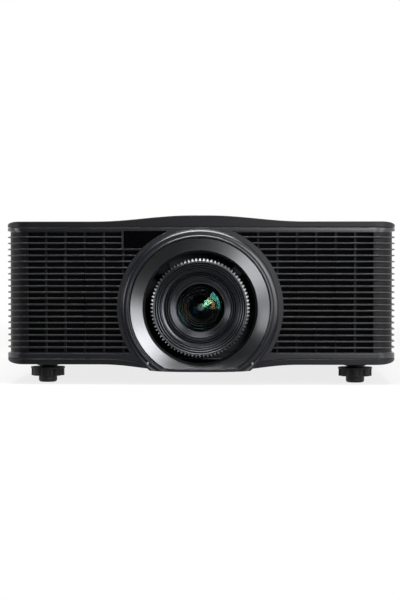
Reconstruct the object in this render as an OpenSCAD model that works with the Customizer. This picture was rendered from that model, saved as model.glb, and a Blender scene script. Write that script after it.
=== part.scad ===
// Video projector for halls and lecture rooms: a low wide case with the lens in the middle of the front,
// louvred grilles that wrap the front corners, a crowned top cover, a bellied bottom cover and screw feet.
// Frame: +X to the right of someone facing the lens, -Y out of the lens, +Z up,
// origin on the floor under the middle of the case. All sizes are millimetres.

/* [Case] */
// Width over the covers
case_w = 484; // [474:1:500]
// Depth from the crest of the lens collar to the button faces
case_d = 510; // [500:1:540]
// Height of the case between its flat top and its flat underside
case_h = 177; // [172:1:190]
// Height of the flat underside above the floor
ground_gap = 24.5; // [23:0.5:30]
// Rise of the crown in the middle of the top
crown_rise = 7.5; // [4:0.5:10]
// Half width of the level part of the crown
crown_flat = 10; // [5:1:20]
// Half width at which the crown has died away
crown_end = 130; // [110:1:150]
// Drop of the belly under the lens
belly_drop = 9; // [7:0.5:11]
// Half width of the level part of the belly
belly_flat = 16; // [10:1:24]
// Half width at which the belly has died away
belly_end = 122; // [110:1:140]
// Plan radius of the upright corners
corner_r = 28; // [24:1:32]
// Wall of the moulded covers and panels
wall = 3; // [2.5:0.25:3.5]
// Height of the rim of the top cover
top_rim = 7; // [6:0.5:9]
// Height of the rim of the bottom cover
bottom_rim = 7; // [6.5:0.5:9]
// Width of the soft shoulder along the top side edges
top_round_w = 17; // [12:1:22]
// Height of the soft shoulder along the top side edges
top_round_h = 5; // [4.5:0.5:6]
// Width of the soft shoulder along the bottom side edges
bottom_round_w = 21; // [16:1:26]
// Height of the soft shoulder along the bottom side edges
bottom_round_h = 6.5; // [5.5:0.5:7]
// Open groove between the covers and the panels
seam = 0.8; // [0.4:0.1:0.9]

/* [Grille] */
// Horizontal ribs in each grille
rib_count = 19; // [15:1:21]
// Thickness of a rib
rib_t = 2; // [1.6:0.1:2.6]
// Depth of a rib
rib_d = 6; // [6:0.25:7]
// Width of an upright bar
bar_w = 2.6; // [2:0.1:3.5]
// Depth of an upright bar behind the ribs
bar_d = 3; // [2.5:0.25:4]
// Spacing of the upright bars
bar_pitch = 24; // [20:1:28]
// Upright bars across each front window
bar_count = 7; // [5:1:7]
// Width of the closed column behind the ribs at each corner
column_w = 26.3; // [24:0.5:30]
// Bezel between the top seam and the windows
band_top = 4.7; // [4.2:0.1:6]
// Bezel between the bottom seam and the windows
band_bottom = 6.4; // [5.5:0.1:8]
// Reach of the windows along the sides
side_window = 165; // [155:1:180]
// Half width at which the sensor window begins
sensor_x = 95; // [88:1:105]
// Rib spaces that the sensor window is tall
sensor_rows = 3; // [2:1:4]

/* [Lens surround] */
// Height of the lens axis above the flat underside
lens_up = 70; // [70:0.5:74]
// Radius of the bezel's arch where the windows end
arch_r = 103; // [101:0.5:106]
// Distance from the arch in to the shoulder of the lens collar
collar_in = 7; // [5:0.5:8]
// Distance from the collar's shoulder in to its raised inner lip
lip_in = 7.5; // [6.5:0.25:8]
// Distance from the raised lip in to the bright trim ring
trim_gap = 2.5; // [2:0.25:4]
// Inner radius of the bright trim ring
throat_r = 71.5; // [70.5:0.5:73]
// Radius of the opening round the lens
opening_r = 68.7; // [67.5:0.1:69.5]
// How far the collar stands out of the bezel's face
collar_proud = 6; // [5:0.5:7]

/* [Lens] */
// Outer radius of the lens hood and barrel
barrel_r = 56.6; // [56:0.1:56.8]
// Radius of the front glass
glass_r = 29.5; // [27:0.5:31]
// Depth of the stepped hood in front of the glass
hood_depth = 32; // [28:1:36]
// Steps in the hood
hood_steps = 9; // [6:1:11]
// Gear module of the focus and zoom rings
gear_module = 1.5; // [1.49:0.01:1.52]
// Teeth on the focus and zoom rings
ring_teeth = 80; // [79:1:82]
// Teeth on each pinion
pinion_teeth = 12; // [11:1:13]
// Radius of a lens motor
lens_motor_r = 9; // [8:0.5:9]
// Lens travel up and down from the middle
lift_travel = 4.5; // [3:0.5:4.5]
// Radius of the upright guide rods and of the lift screw
rod_r = 4; // [3:0.25:4.5]

/* [Feet] */
// Distance of the feet from the sides of the case
foot_side = 48; // [47:1:56]
// Distance of the feet from the front face and from the rear face
foot_in = 45; // [42:1:52]
// Radius of the foot's star knob
knob_r = 21.4; // [19:0.2:22]
// Lobes on the star knob
knob_lobes = 8; // [6:1:9]
// Radius of the foot's tip
tip_r = 11.6; // [11:0.1:12]
// Height of the foot's tip
tip_h = 8.3; // [7.5:0.1:9]
// Height of the star knob
knob_h = 10.9; // [10:0.1:11.4]
// Radius of the threaded stem
stem_r = 12.3; // [11.5:0.1:12.5]
// How far a foot screws out
foot_travel = 25; // [15:1:25]

/* [Cooling] */
// Side of a square fan frame
fan_size = 120; // [110:1:120]
// Thickness of a fan
fan_t = 22; // [18:1:22]
// Blades on a fan rotor
fan_blades = 7; // [5:1:9]
// Thickness of the dust filters
filter_t = 10; // [6:1:12]

/* [Rear] */
// Depth of the connector bay
bay_d = 14; // [13:0.5:18]
// Height of the connector bay
bay_h = 62; // [58:1:70]
// How far the buttons stand out of the rear face
button_proud = 2; // [1.5:0.1:2.5]
// Radius of a button
button_r = 5.5; // [4.5:0.1:6.5]
// Spacing of the direction buttons from the middle one
button_pitch = 18; // [17:0.5:20]
// Travel of a button
button_travel = 0.8; // [0.4:0.1:1]

/* [Mounting] */
// Distance of the ceiling mount holes from the sides of the case
mount_side = 62; // [60:1:66]
// Spacing of the ceiling mount holes along the case
mount_y = 220; // [180:1:240]
// Radius of a ceiling mount hole
mount_r = 3; // [2.5:0.5:4]
// Depth of a ceiling mount hole
mount_depth = 12; // [8:1:14]

/* [Fits] */
// Clearance between fixed neighbours
fit = 0.25; // [0.15:0.05:0.3]
// Clearance round a piece that turns or slides
run = 0.3; // [0.2:0.05:0.35]

/* [Hidden] */
$fn = 96;
curve_steps = 16;
past = 1;
blend = 0.5;

y_lip = -case_d / 2;
y_face = y_lip + collar_proud;
y_back = case_d / 2 - button_proud;
z_bot = ground_gap;
z_top = z_bot + case_h;
z_crown = z_top + crown_rise;
z_belly = z_bot - belly_drop;
z_seam_b = z_bot + bottom_rim;
z_seam_t = z_top - top_rim;
z_floor = z_bot + wall;
lens_z = z_bot + lens_up;
collar_r = arch_r - collar_in;
lip_r = collar_r - lip_in;
trim_r = lip_r - trim_gap;

// Tongue of each cover behind the panels
tongue_h = 2.5;
tongue_t = 2;

// Windows and grilles
win_z0 = z_seam_b + band_bottom;
win_z1 = z_seam_t - band_top;
rib_pitch = (win_z1 - win_z0) / (rib_count + 1);
flange_d = wall + fit;
flange_t = rib_d - flange_d;
flange_in = 1.5;
flange_side = 4;
flange_top = band_top - tongue_h - fit;
flange_bottom = band_bottom - tongue_h - fit;
column_d = wall + 0.5;
grille_d = rib_d + bar_d;
column_x = case_w / 2 - column_w;
bezel_end = y_face + side_window + 12;
rear_split = y_back - corner_r - 12;
sensor_z0 = win_z1 - sensor_rows * rib_pitch + rib_t / 2 + fit;

// The belly and the crown die away along the case
belly_full = 70;
belly_fade_l = 80;
belly_fade = [y_face + belly_full, y_face + belly_full + belly_fade_l];
crown_rear = 80;
crown_fade_l = 140;
crown_fade = [y_back - crown_rear - crown_fade_l, y_back - crown_rear];

// Places along the lens axis, measured back from the crest of the collar
disc_back = collar_proud + wall;
trim_back = disc_back + 6;
opening_back = trim_back + 4;
hood_front = 2;
glass_edge = 5;
glass_sag = 5;
focus_front = hood_front + 4;
focus_back = opening_back + 11;
hood_back = max(focus_back + 10, hood_front + hood_depth + glass_edge + 1);
zoom_front = hood_back + 6;
zoom_back = zoom_front + 14;
keeper_back = zoom_back + 4;
mount_front = keeper_back + 23;
mount_back = mount_front + 4;
tube_back = mount_back + 49;
rod_back = mount_back + 6;
keeper_r = barrel_r + 3.4;
tube_r = barrel_r - 11.6;
seat_r = glass_r - 2.5;
collar_foot_r = (arch_r + collar_r) / 2;

// Gears
pitch_r = gear_module * ring_teeth / 2;
pinion_pitch_r = gear_module * pinion_teeth / 2;
gear_gap = pitch_r + pinion_pitch_r + 0.15;
addendum = 0.93 * gear_module;
dedendum = 1.07 * gear_module;
ring_bore = barrel_r + run;
motor_step = 360 / ring_teeth;
motor_angle = round(45 / motor_step) * motor_step;
shaft_r = 1.5;
barrel_foot_r = gear_gap - lens_motor_r - fit;

// Lens carriage
rod_x = barrel_r + 27.4;
screw_x = rod_x + 20;
boss_r = rod_r + 4;
boss_half = 40;
nut_half = 10;
post_x = screw_x + boss_r;
post_w = 8;
bar_h = 7;
lift_motor_h = 18;
lift_room = 13;

// Deck inside the case
deck_t = 2;
z_deck = z_floor + deck_t;
deck_side = 77;
deck_x = case_w / 2 - deck_side;
deck_y0 = y_lip + mount_front - 17;
deck_y1 = y_back - 53;
base_h = 6.5;
base_top = z_deck + base_h;
bar_top = z_top - wall - lift_room - lift_motor_h - bar_h;
mount_gap = 2.5;
plate_bottom = z_deck + lift_travel + mount_gap;
plate_up = 76;
engine_y0 = y_lip + tube_back + 5;

// Feet
foot_x = case_w / 2 - foot_side;
foot_y = [y_face + foot_in, y_back - foot_in];
knob_top = tip_h + knob_h;
foot_collar_h = z_bot - knob_top - 2 - run;
foot_collar_r = stem_r + 1.5;
foot_boss_h = 18;
stem_top = z_bot + foot_travel + 11;
pin_r = 6;

// Cooling
fan_in = grille_d + 1;
fan_y = y_face + column_w + 8 + fan_size / 2;
floor_share = 1 - sqrt(1 - pow((bottom_round_w - fan_in) / (bottom_round_w - wall), 2));
fan_z0 = z_floor + (bottom_round_h - wall) * floor_share + fit;
fan_z = fan_z0 + fan_size / 2;
fan_hub_r = 19;

// Connector bay, seen from the front
bay_left = 52;
bay_right = 132;
bay_up = 24;
bay_x0 = -case_w / 2 + bay_left;
bay_x1 = case_w / 2 - bay_right;
bay_z0 = z_bot + bay_up;
bay_wall = 2;
plate_t = 1.5;
y_plate = y_back - bay_d;
port_z = bay_z0 + bay_h / 2;

// Buttons on the rear face, each [x, z]: five in a cross and two above it
pad_side = 67;
pad_up = 75;
key_rise = 42;
key_spread = 25;
pad_x = case_w / 2 - pad_side;
pad_z = z_bot + pad_up;
enter_at = [pad_x, pad_z];
up_at = enter_at + [0, button_pitch];
down_at = enter_at - [0, button_pitch];
left_at = enter_at - [button_pitch, 0];
right_at = enter_at + [button_pitch, 0];
power_at = enter_at + [-key_spread, key_rise];
menu_at = enter_at + [key_spread, key_rise];
BUTTONS = [enter_at, up_at, down_at, left_at, right_at, power_at, menu_at];
button_flange = 2;
button_flange_t = 2;
keypad_gap = button_travel + 0.7;
y_switch = y_back - wall - fit - button_flange_t - keypad_gap;

// Feet, each [x, y]
foot_fl = [-foot_x, foot_y[0]];
foot_fr = [foot_x, foot_y[0]];
foot_rl = [-foot_x, foot_y[1]];
foot_rr = [foot_x, foot_y[1]];

// Curves of the case

// Share of a bump at a distance from the middle: 1 on its level part, 0 past its end
function bump(x, flat, end) =
    abs(x) <= flat ? 1 : abs(x) >= end ? 0 : (1 + cos(180 * (abs(x) - flat) / (end - flat))) / 2;

function top_line(x) = z_top + crown_rise * bump(x, crown_flat, crown_end);
function bottom_line(x) = z_bot - belly_drop * bump(x, belly_flat, belly_end);

// Places across the width at which a bump's curve is drawn
function curve_x(flat, end) = concat(
    [for (k = [0:curve_steps]) -end + (end - flat) * k / curve_steps],
    [for (k = [0:curve_steps]) flat + (end - flat) * k / curve_steps]
);

// Quarter ellipse from angle a0 to a1 round a centre
function quarter(cx, cz, rx, rz, a0, a1) =
    [for (k = [0:8]) [cx + rx * cos(a0 + (a1 - a0) * k / 8), cz + rz * sin(a0 + (a1 - a0) * k / 8)]];

// Helpers

module upright(z0, z1) translate([0, 0, z0]) linear_extrude(z1 - z0) children();
module along_y(y0, y1) translate([0, y1, 0]) rotate([90, 0, 0]) linear_extrude(y1 - y0) children();
module along_x(x0, x1) translate([x0, 0, 0]) rotate([90, 0, 90]) linear_extrude(x1 - x0) children();
module box(low, high) translate(low) cube(high - low);
module y_rod(x, z, r, y0, y1) translate([x, y0, z]) rotate([-90, 0, 0]) cylinder(r = r, h = y1 - y0);
module z_rod(x, y, r, z0, z1) translate([x, y, z0]) cylinder(r = r, h = z1 - z0);
module x_rod(y, z, r, x0, x1) translate([x0, y, z]) rotate([0, 90, 0]) cylinder(r = r, h = x1 - x0);

// Places children on the lens axis, with their +Z running back from the crest of the collar
module on_lens() translate([0, y_lip, lens_z]) rotate([-90, 0, 0]) children();
module lens_rod(r, d0, d1) on_lens() translate([0, 0, d0]) cylinder(r = r, h = d1 - d0);
module lens_turning(points) on_lens() rotate_extrude() polygon(points);

// Outline of the case from above
module case_plan(inset = 0) {
    half = case_w / 2 - inset;
    y0 = y_face + inset;
    y1 = y_back - inset;
    r = corner_r - inset;
    translate([-half, y0 + r]) square([2 * half, y1 - y0 - 2 * r]);
    translate([-half + r, y0]) square([2 * half - 2 * r, y1 - y0]);
    for (x = [-half + r, half - r], y = [y0 + r, y1 - r]) translate([x, y]) circle(r);
}

module plan_band(outer, inner) difference() {
    case_plan(outer);
    case_plan(inner);
}

// Outline of the case from the front: belly below, crown above, soft shoulders at the sides
module case_front(inset = 0) {
    half = case_w / 2 - inset;
    bw = bottom_round_w - inset;
    bh = bottom_round_h - inset;
    tw = top_round_w - inset;
    th = top_round_h - inset;
    polygon(concat(
        quarter(-half + bw, z_bot + inset + bh, bw, bh, 180, 270),
        [for (x = curve_x(belly_flat, belly_end)) [x, bottom_line(x) + inset]],
        quarter(half - bw, z_bot + inset + bh, bw, bh, 270, 360),
        quarter(half - tw, z_top - inset - th, tw, th, 0, 90),
        [for (x = curve_x(crown_flat, crown_end)) [-x, top_line(x) - inset]],
        quarter(-half + tw, z_top - inset - th, tw, th, 90, 180)
    ));
}

// Outline of the case from the side, where the crown and the belly die away towards the rear
module case_side(inset = 0) polygon([
    [y_face + inset, z_belly + inset],
    [belly_fade[0], z_belly + inset],
    [belly_fade[1], z_bot + inset],
    [y_back - inset, z_bot + inset],
    [y_back - inset, z_top - inset],
    [crown_fade[1], z_top - inset],
    [crown_fade[0], z_crown - inset],
    [y_face + inset, z_crown - inset]
]);

module case_form(inset = 0) intersection() {
    upright(z_belly - past, z_crown + past) case_plan(inset);
    along_y(y_face - past, y_back + past) case_front(inset);
    along_x(-case_w, case_w) case_side(inset);
}

module level(z0, z1) box([-case_w, -case_d, z0], [case_w, case_d, z1]);

// Tongue that locates a cover behind the panels
module tongue(z0, z1) intersection() {
    upright(z0, z1) plan_band(wall + fit, wall + fit + tongue_t);
    case_form(wall / 2);
}

// Covers and panels

module top_cover() color("#232427") {
    difference() {
        intersection() {
            case_form();
            level(z_seam_t, z_crown + past);
        }
        case_form(wall);
    }
    tongue(z_seam_t - tongue_h, z_top);
}

// Region of the front above the seam of the bottom cover, which dips with the belly
module above_seam(gap) polygon(concat(
    [[-case_w, z_seam_b + gap]],
    [for (x = curve_x(belly_flat, belly_end)) [x, bottom_line(x) + bottom_rim + gap]],
    [[case_w, z_seam_b + gap], [case_w, z_seam_t - seam], [-case_w, z_seam_t - seam]]
));

// Region of the front below the belly's line raised by a height; a share under 1 flattens the line
module below_belly(rise, share = 1) polygon(concat(
    [[-case_w, z_belly - case_h], [-case_w, z_belly + share * belly_drop + rise]],
    [for (x = curve_x(belly_flat, belly_end)) [x, z_belly + share * (bottom_line(x) - z_belly) + rise]],
    [[case_w, z_belly + share * belly_drop + rise], [case_w, z_belly - case_h]]
));

mount_x = case_w / 2 - mount_side;
module mount_places() for (x = [-mount_x, mount_x], y = [-mount_y / 2, mount_y / 2])
    translate([x, y, 0]) children();

module foot_places() for (f = [foot_fl, foot_fr, foot_rl, foot_rr]) translate(f) children();

screw_y = [deck_y0 + 15, deck_y1 - 15];
screw_in = 12;
screw_shank_r = 2;
screw_head_r = 3.7;
screw_head_t = 1.4;
module screw_places() for (x = [-deck_x + screw_in, deck_x - screw_in], y = screw_y)
    translate([x, y, 0]) children();

module bottom_cover() color("#232427") difference() {
    union() {
        difference() {
            intersection() {
                case_form();
                level(z_belly - past, z_seam_b);
            }
            case_form(wall);
            along_y(y_face - past, y_face + wall) above_seam(0);
        }
        difference() {
            tongue(z_belly, z_seam_b + tongue_h);
            intersection() {
                lens_rod(collar_r + fit, 0, opening_back + 5);
                level(z_belly + wall, z_top);
            }
        }
        foot_places() {
            translate([0, 0, z_bot + wall / 2]) cylinder(r = foot_collar_r, h = foot_boss_h);
            translate([0, 0, z_bot - foot_collar_h]) cylinder(r = foot_collar_r, h = foot_collar_h + wall);
        }
        mount_places() translate([0, 0, z_bot]) cylinder(r = mount_r + 5, h = mount_depth + wall);
    }
    lens_rod(collar_foot_r + fit, -past, disc_back + fit);
    foot_places() translate([0, 0, z_belly]) cylinder(r = stem_r + run, h = case_h / 2);
    mount_places() translate([0, 0, z_bot - past]) cylinder(r = mount_r, h = mount_depth + past);
    screw_places() translate([0, 0, z_bot - past]) {
        cylinder(r = screw_shank_r + fit, h = wall + 2 * past);
        cylinder(r = screw_head_r + fit, h = screw_head_t + fit + past);
    }
}

// Space of both grille windows, which stop at the arch round the lens
module windows(gap) difference() {
    box([-case_w, y_face - past, win_z0 + gap], [case_w, y_face + side_window - gap, win_z1 - gap]);
    lens_rod(arch_r + gap, -past, side_window * 2);
}

sill_share = 0.35;
pin_angle = 46.6;
module pin_places() for (s = [-1, 1])
    translate([s * (collar_r - 2) * cos(pin_angle), 0, -(collar_r - 2) * sin(pin_angle)]) children();
pin_head_r = 2;

module front_bezel() color("#2c2d30") difference() {
    union() {
        difference() {
            intersection() {
                upright(z_belly, z_seam_t) plan_band(0, wall);
                along_y(y_face - past, bezel_end) above_seam(seam);
            }
            windows(0);
        }
        lens_rod(collar_foot_r, collar_proud, disc_back);
        intersection() {
            lens_rod(collar_r - 2, 1.4, disc_back);
            along_y(y_lip, y_face + wall) below_belly(wall);
        }
        lens_turning([
            [collar_foot_r, disc_back], [collar_foot_r, collar_proud], [collar_r + 2, collar_proud],
            [collar_r + 1.2, 4.8], [collar_r + 0.5, 3.7], [collar_r - 0.3, 2.75], [collar_r - 1.2, 1.95],
            [collar_r - 2.3, 1.4], [collar_r - 3.6, 1.1], [lip_r + 2.2, 1], [lip_r + 1.6, 1.15],
            [lip_r + 1.3, 0.75], [lip_r + 0.6, 0.12], [lip_r + 0.2, 0], [lip_r - 0.4, 0],
            [lip_r - 1, 0.45], [lip_r - 1.3, 1.4], [lip_r - 1.3, disc_back]
        ]);
    }
    difference() {
        lens_rod(lip_r - 1.3, -past, disc_back + past);
        along_y(y_lip - 2 * past, y_face + wall + 2 * past) below_belly(wall);
    }
    along_y(y_lip - past, y_face + wall + past) below_belly(0, sill_share);
    level(z_seam_t - fit, z_crown + collar_r);
    pin_places() y_rod(0, lens_z, pin_head_r + fit, y_lip - past, y_face + wall + past);
}

module bezel_pins() color("#9a9ca0") pin_places()
    y_rod(0, lens_z, pin_head_r, y_lip + 0.2, y_face + wall);

// One grille: ribs in front, upright bars behind, a closed column at the corner and a flange behind the bezel
module grille(s) color("#1d1e20") intersection() {
    box([s > 0 ? 0 : -case_w, -case_d, 0], [s > 0 ? case_w : 0, case_d, z_top]);
    difference() {
        union() {
            intersection() {
                for (i = [1:rib_count])
                    upright(win_z0 + i * rib_pitch - rib_t / 2, win_z0 + i * rib_pitch + rib_t / 2)
                        plan_band(0, rib_d);
                windows(fit);
            }
            intersection() {
                grille_backing(s);
                difference() {
                    box([-case_w, y_face, 0], [case_w, y_face + side_window + flange_side, z_top]);
                    lens_rod(arch_r + fit, -past, side_window * 2);
                }
            }
            grille_arch();
        }
        if (s < 0) box([-sensor_x, y_face - past, sensor_z0 - fit], [0, y_face + flange_d, z_top]);
    }
}

module grille_backing(s) {
    upright(win_z0 - flange_bottom, win_z1 + flange_top) {
        intersection() {
            plan_band(column_d, grille_d);
            translate([s > 0 ? column_x : -case_w / 2, y_face]) square([column_w, column_w]);
        }
        for (k = [0:bar_count - 1])
            translate([s * (column_x - k * bar_pitch) - bar_w / 2, y_face + rib_d - blend])
                square([bar_w, bar_d + blend]);
        for (y = [y_face + column_w : bar_pitch : y_face + side_window])
            translate([s * (case_w / 2 - rib_d - bar_d / 2) - bar_d / 2 - (s > 0 ? 0 : blend), y - bar_w / 2])
                square([bar_d + blend, bar_w]);
        translate([s * (case_w / 2 - flange_d - flange_t / 2) - flange_t / 2,
                   y_face + side_window - flange_in])
            square([flange_t, flange_in + flange_side]);
        if (s < 0) translate([-sensor_x - rib_t, y_face + rib_d - blend]) square([rib_t, bar_d + blend]);
    }
    upright(win_z1 - flange_in, win_z1 + flange_top) plan_band(flange_d, flange_d + flange_t);
    upright(win_z0 - flange_bottom, win_z0 + flange_in) plan_band(flange_d, flange_d + flange_t);
    if (s < 0) box([-sensor_x - rib_t, y_face, sensor_z0 - rib_t], [-sensor_x, y_face + rib_d, win_z1 - fit]);
}

// Strip of the grille flange behind the arch of the bezel
module grille_arch() intersection() {
    difference() {
        lens_rod(arch_r + flange_in, collar_proud + flange_d, collar_proud + flange_d + flange_t);
        lens_rod(arch_r - flange_side, -past, side_window);
    }
    level(win_z0 - flange_bottom, win_z1 + flange_top);
}

module grille_left() grille(-1);
module grille_right() grille(1);

module sensor_window() color("#08080a") difference() {
    box([-sensor_x + fit, y_face + 0.8, sensor_z0], [0, y_face + flange_d, win_z1 - fit]);
    lens_rod(arch_r + fit, -past, side_window);
}

// Slots of a vent on a flat panel, cut through along the panel's normal
slot_h = 3.4;
vent_len = 58;
vent_gap = 10;
vent_in = 22;
module side_panel(s) color("#26272a") difference() {
    box([s > 0 ? case_w / 2 - wall : -case_w / 2, bezel_end + fit, z_seam_b + seam],
        [s > 0 ? case_w / 2 : -case_w / 2 + wall, rear_split, z_seam_t - seam]);
    for (y = [rear_split - vent_in - vent_gap - vent_len, rear_split - vent_in], i = [1:2:rib_count])
        box([-case_w, y - vent_len, win_z0 + i * rib_pitch - slot_h / 2],
            [case_w, y, win_z0 + i * rib_pitch + slot_h / 2]);
}
module side_panel_left() side_panel(-1);
module side_panel_right() side_panel(1);

keypad_w = 78;
keypad_h = 84;
keypad_z = pad_z + 12;
module keypad_posts() for (x = [-1, 1], z = [-1, 1])
    translate([pad_x + x * (keypad_w / 2 - 4), 0, keypad_z + z * (keypad_h / 2 - 4)]) children();

module rear_panel() color("#26272a") difference() {
    union() {
        intersection() {
            upright(z_seam_b + seam, z_seam_t - seam) plan_band(0, wall);
            box([-case_w, rear_split + fit, 0], [case_w, case_d, z_crown]);
        }
        box([bay_x0 - bay_wall, y_plate, bay_z0 - bay_wall],
            [bay_x1 + bay_wall, y_back - wall / 2, bay_z0 + bay_h + bay_wall]);
        keypad_posts() y_rod(0, 0, 3, y_switch - 2, y_back - wall / 2);
    }
    box([bay_x0, y_plate - past, bay_z0], [bay_x1, y_back + past, bay_z0 + bay_h]);
    for (b = BUTTONS) y_rod(b.x, b.y, button_r + run, y_back - wall - past, y_back + past);
    for (k = [0:3], z = [bay_z0 + bay_h + 12 : rib_pitch : win_z1 - slot_h])
        box([bay_x0 + 5 + k * (vent_len + 16), y_back - wall - past, z],
            [bay_x0 + 5 + k * (vent_len + 16) + vent_len, y_back + past, z + slot_h]);
}

module io_plate() color("#6f7275")
    box([bay_x0 - bay_wall, y_plate - plate_t, bay_z0 - bay_wall],
        [bay_x1 + bay_wall, y_plate, bay_z0 + bay_h + bay_wall]);

// Lens surround

// The rings of the surround stop just above the floor of the belly and just below the top cover's tongue
module in_case() difference() {
    children();
    along_y(y_lip - past, y_lip + opening_back + past) below_belly(wall + fit);
    level(z_seam_t - tongue_h - fit, z_crown + collar_r);
}

trim_front = 1.6;
trim_fall = 0.47 * (trim_r - throat_r);
module trim_ring() color("#a9abaf") in_case() lens_turning([
    [trim_r, trim_front], [throat_r, trim_front + trim_fall], [throat_r, trim_back],
    [throat_r + 8.5, trim_back], [throat_r + 8.5, disc_back + 2], [lip_r + 3.5, disc_back + 2],
    [lip_r + 3.5, disc_back], [trim_r, disc_back]
]);

module opening_ring() color("#17181a") in_case() lens_turning([
    [throat_r - 0.3, trim_back - 2], [opening_r, trim_back - 0.6], [opening_r, opening_back],
    [throat_r + 7.5, opening_back], [throat_r + 7.5, trim_back], [throat_r - 0.3, trim_back]
]);

// Lens

hood_r0 = barrel_r - 0.8;
function hood_r(k) = hood_r0 - (hood_r0 - glass_r - 1.5) * k / hood_steps;
function hood_d(k) = hood_front + hood_depth * pow(k / hood_steps, 1.35);

// Stepped hood: each step is a flat ring and a short wall, down to the seat of the front glass
module lens_hood() color("#202124") lens_turning(concat(
    [[barrel_r + 1.7, hood_front], [barrel_r + 1.7, focus_front - run], [barrel_r, focus_front - run],
     [barrel_r, hood_back], [seat_r, hood_back], [seat_r, hood_d(hood_steps) + glass_edge],
     [glass_r + fit, hood_d(hood_steps) + glass_edge], [glass_r + fit, hood_d(hood_steps)]],
    [for (k = [hood_steps:-1:1]) each [[hood_r(k), hood_d(k)], [hood_r(k), hood_d(k - 1) + 0.4]]],
    [[hood_r0, hood_front]]
));

// Glass with a domed front, drawn from its axis out to its edge
module dome(r, edge, sag, back) {
    ball = (r * r + sag * sag) / (2 * sag);
    lens_turning(concat(
        [[0, back], [0, back - edge - sag]],
        [for (k = [1:12]) let (x = r * k / 12) [x, back - edge - sag + ball - sqrt(ball * ball - x * x)]],
        [[r, back]]
    ));
}

module front_element() color("#16303a", 0.5)
    dome(glass_r, glass_edge, glass_sag, hood_d(hood_steps) + glass_edge);

second_in = 15;
second_sag = 8;
rear_in = 8;
rear_sag = 5;
inner_edge = 4;
second_back = mount_front - second_in;
rear_back = tube_back - rear_in;
module inner_elements() color("#16303a", 0.5) {
    dome(barrel_r - 7, inner_edge, second_sag, second_back);
    dome(tube_r - 5.2, inner_edge, rear_sag, rear_back);
}

module lens_barrel() color("#1b1c1e") lens_turning([
    [barrel_r + fit, focus_back + run], [keeper_r, focus_back + run], [keeper_r, zoom_front - run],
    [barrel_r, zoom_front - run], [barrel_r, zoom_back + run], [keeper_r, zoom_back + run],
    [keeper_r, keeper_back], [barrel_r, keeper_back], [barrel_r, mount_front - 4],
    [barrel_foot_r, mount_front - 4], [barrel_foot_r, mount_front], [tube_r, mount_front],
    [tube_r, tube_back],
    [tube_r - 9, tube_back], [tube_r - 9, rear_back], [tube_r - 5, rear_back], [tube_r - 5, second_back],
    [barrel_r - 6.8, second_back], [barrel_r - 6.8, hood_back], [barrel_r + fit, hood_back]
]);

// Gear outline with straight-flanked teeth, one tooth centred on the X axis
module gear_outline(teeth, root_r, tip_r, root_share, tip_share) polygon([
    for (k = [0:teeth - 1])
        for (p = [[root_r, -root_share], [tip_r, -tip_share], [tip_r, tip_share], [root_r, root_share]])
            p[0] * [cos((k + p[1] / 2) * 360 / teeth), sin((k + p[1] / 2) * 360 / teeth)]
]);

module gear_ring(d0, d1) on_lens() translate([0, 0, d0]) linear_extrude(d1 - d0) difference() {
    gear_outline(ring_teeth, pitch_r - dedendum, pitch_r + addendum, 0.62, 0.22);
    circle(ring_bore);
}
module focus_ring() color("#c9cbcd") gear_ring(focus_front, focus_back);
module zoom_ring() color("#3a3c40") gear_ring(zoom_front, zoom_back);

// Places children on a lens motor's axis, with a gap of the pinion facing a tooth of the ring
module on_motor(s) on_lens() rotate(s > 0 ? -motor_angle : motor_angle - 180) translate([gear_gap, 0, 0])
    rotate(180 + 180 / pinion_teeth) children();

pinion_root_r = pinion_pitch_r - 1.15 * gear_module;
pinion_tip_r = pinion_pitch_r + 0.85 * gear_module;
module pinion(s, d0, d1) color("#b08d57") on_motor(s) translate([0, 0, d0]) linear_extrude(d1 - d0)
    difference() {
        gear_outline(pinion_teeth, pinion_root_r, pinion_tip_r, 0.5, 0.16);
        circle(shaft_r + run / 2);
    }
focus_pinion_d = [opening_back + 2, focus_back - 1];
zoom_pinion_d = [zoom_front + 2, zoom_back - 2];
module focus_pinion() pinion(1, focus_pinion_d[0], focus_pinion_d[1]);
module zoom_pinion() pinion(-1, zoom_pinion_d[0], zoom_pinion_d[1]);

module lens_motor(s, tip) on_motor(s) {
    translate([0, 0, keeper_back + run]) cylinder(r = lens_motor_r, h = mount_front - keeper_back - run);
    translate([0, 0, tip]) cylinder(r = shaft_r, h = mount_front - tip);
}
module lens_motors() color("#8d9095") {
    lens_motor(1, focus_pinion_d[0]);
    lens_motor(-1, zoom_pinion_d[0]);
}

// Lens carriage, its guide and its drive

module lens_mount() color("#55585c") difference() {
    union() {
        box([-rod_x, y_lip + mount_front, plate_bottom], [rod_x, y_lip + mount_back, lens_z + plate_up]);
        for (s = [-1, 1]) z_rod(s * rod_x, y_lip + rod_back, boss_r, lens_z - boss_half, lens_z + boss_half);
        z_rod(screw_x, y_lip + rod_back, boss_r - 1, lens_z - nut_half, lens_z + nut_half);
        box([0, y_lip + mount_front, lens_z - nut_half], [screw_x, y_lip + mount_back, lens_z + nut_half]);
    }
    lens_rod(tube_r + fit, mount_front - past, rod_back + boss_r);
    for (s = [-1, 1]) z_rod(s * rod_x, y_lip + rod_back, rod_r + run / 3, lens_z - case_h, lens_z + case_h);
    z_rod(screw_x, y_lip + rod_back, rod_r + run, lens_z - case_h, lens_z + case_h);
}

module shift_base() color("#8f9296") {
    frame_y = [y_lip + mount_back + 1, y_lip + rod_back + boss_r];
    for (s = [-1, 1])
        box([s > 0 ? post_x : -post_x - post_w, frame_y[0], z_deck],
            [s > 0 ? post_x + post_w : -post_x, frame_y[1], bar_top + bar_h]);
    for (z = [[z_deck, base_top], [bar_top, bar_top + bar_h]])
        box([-post_x - post_w, frame_y[0], z[0]], [post_x + post_w, frame_y[1], z[1]]);
}

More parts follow.
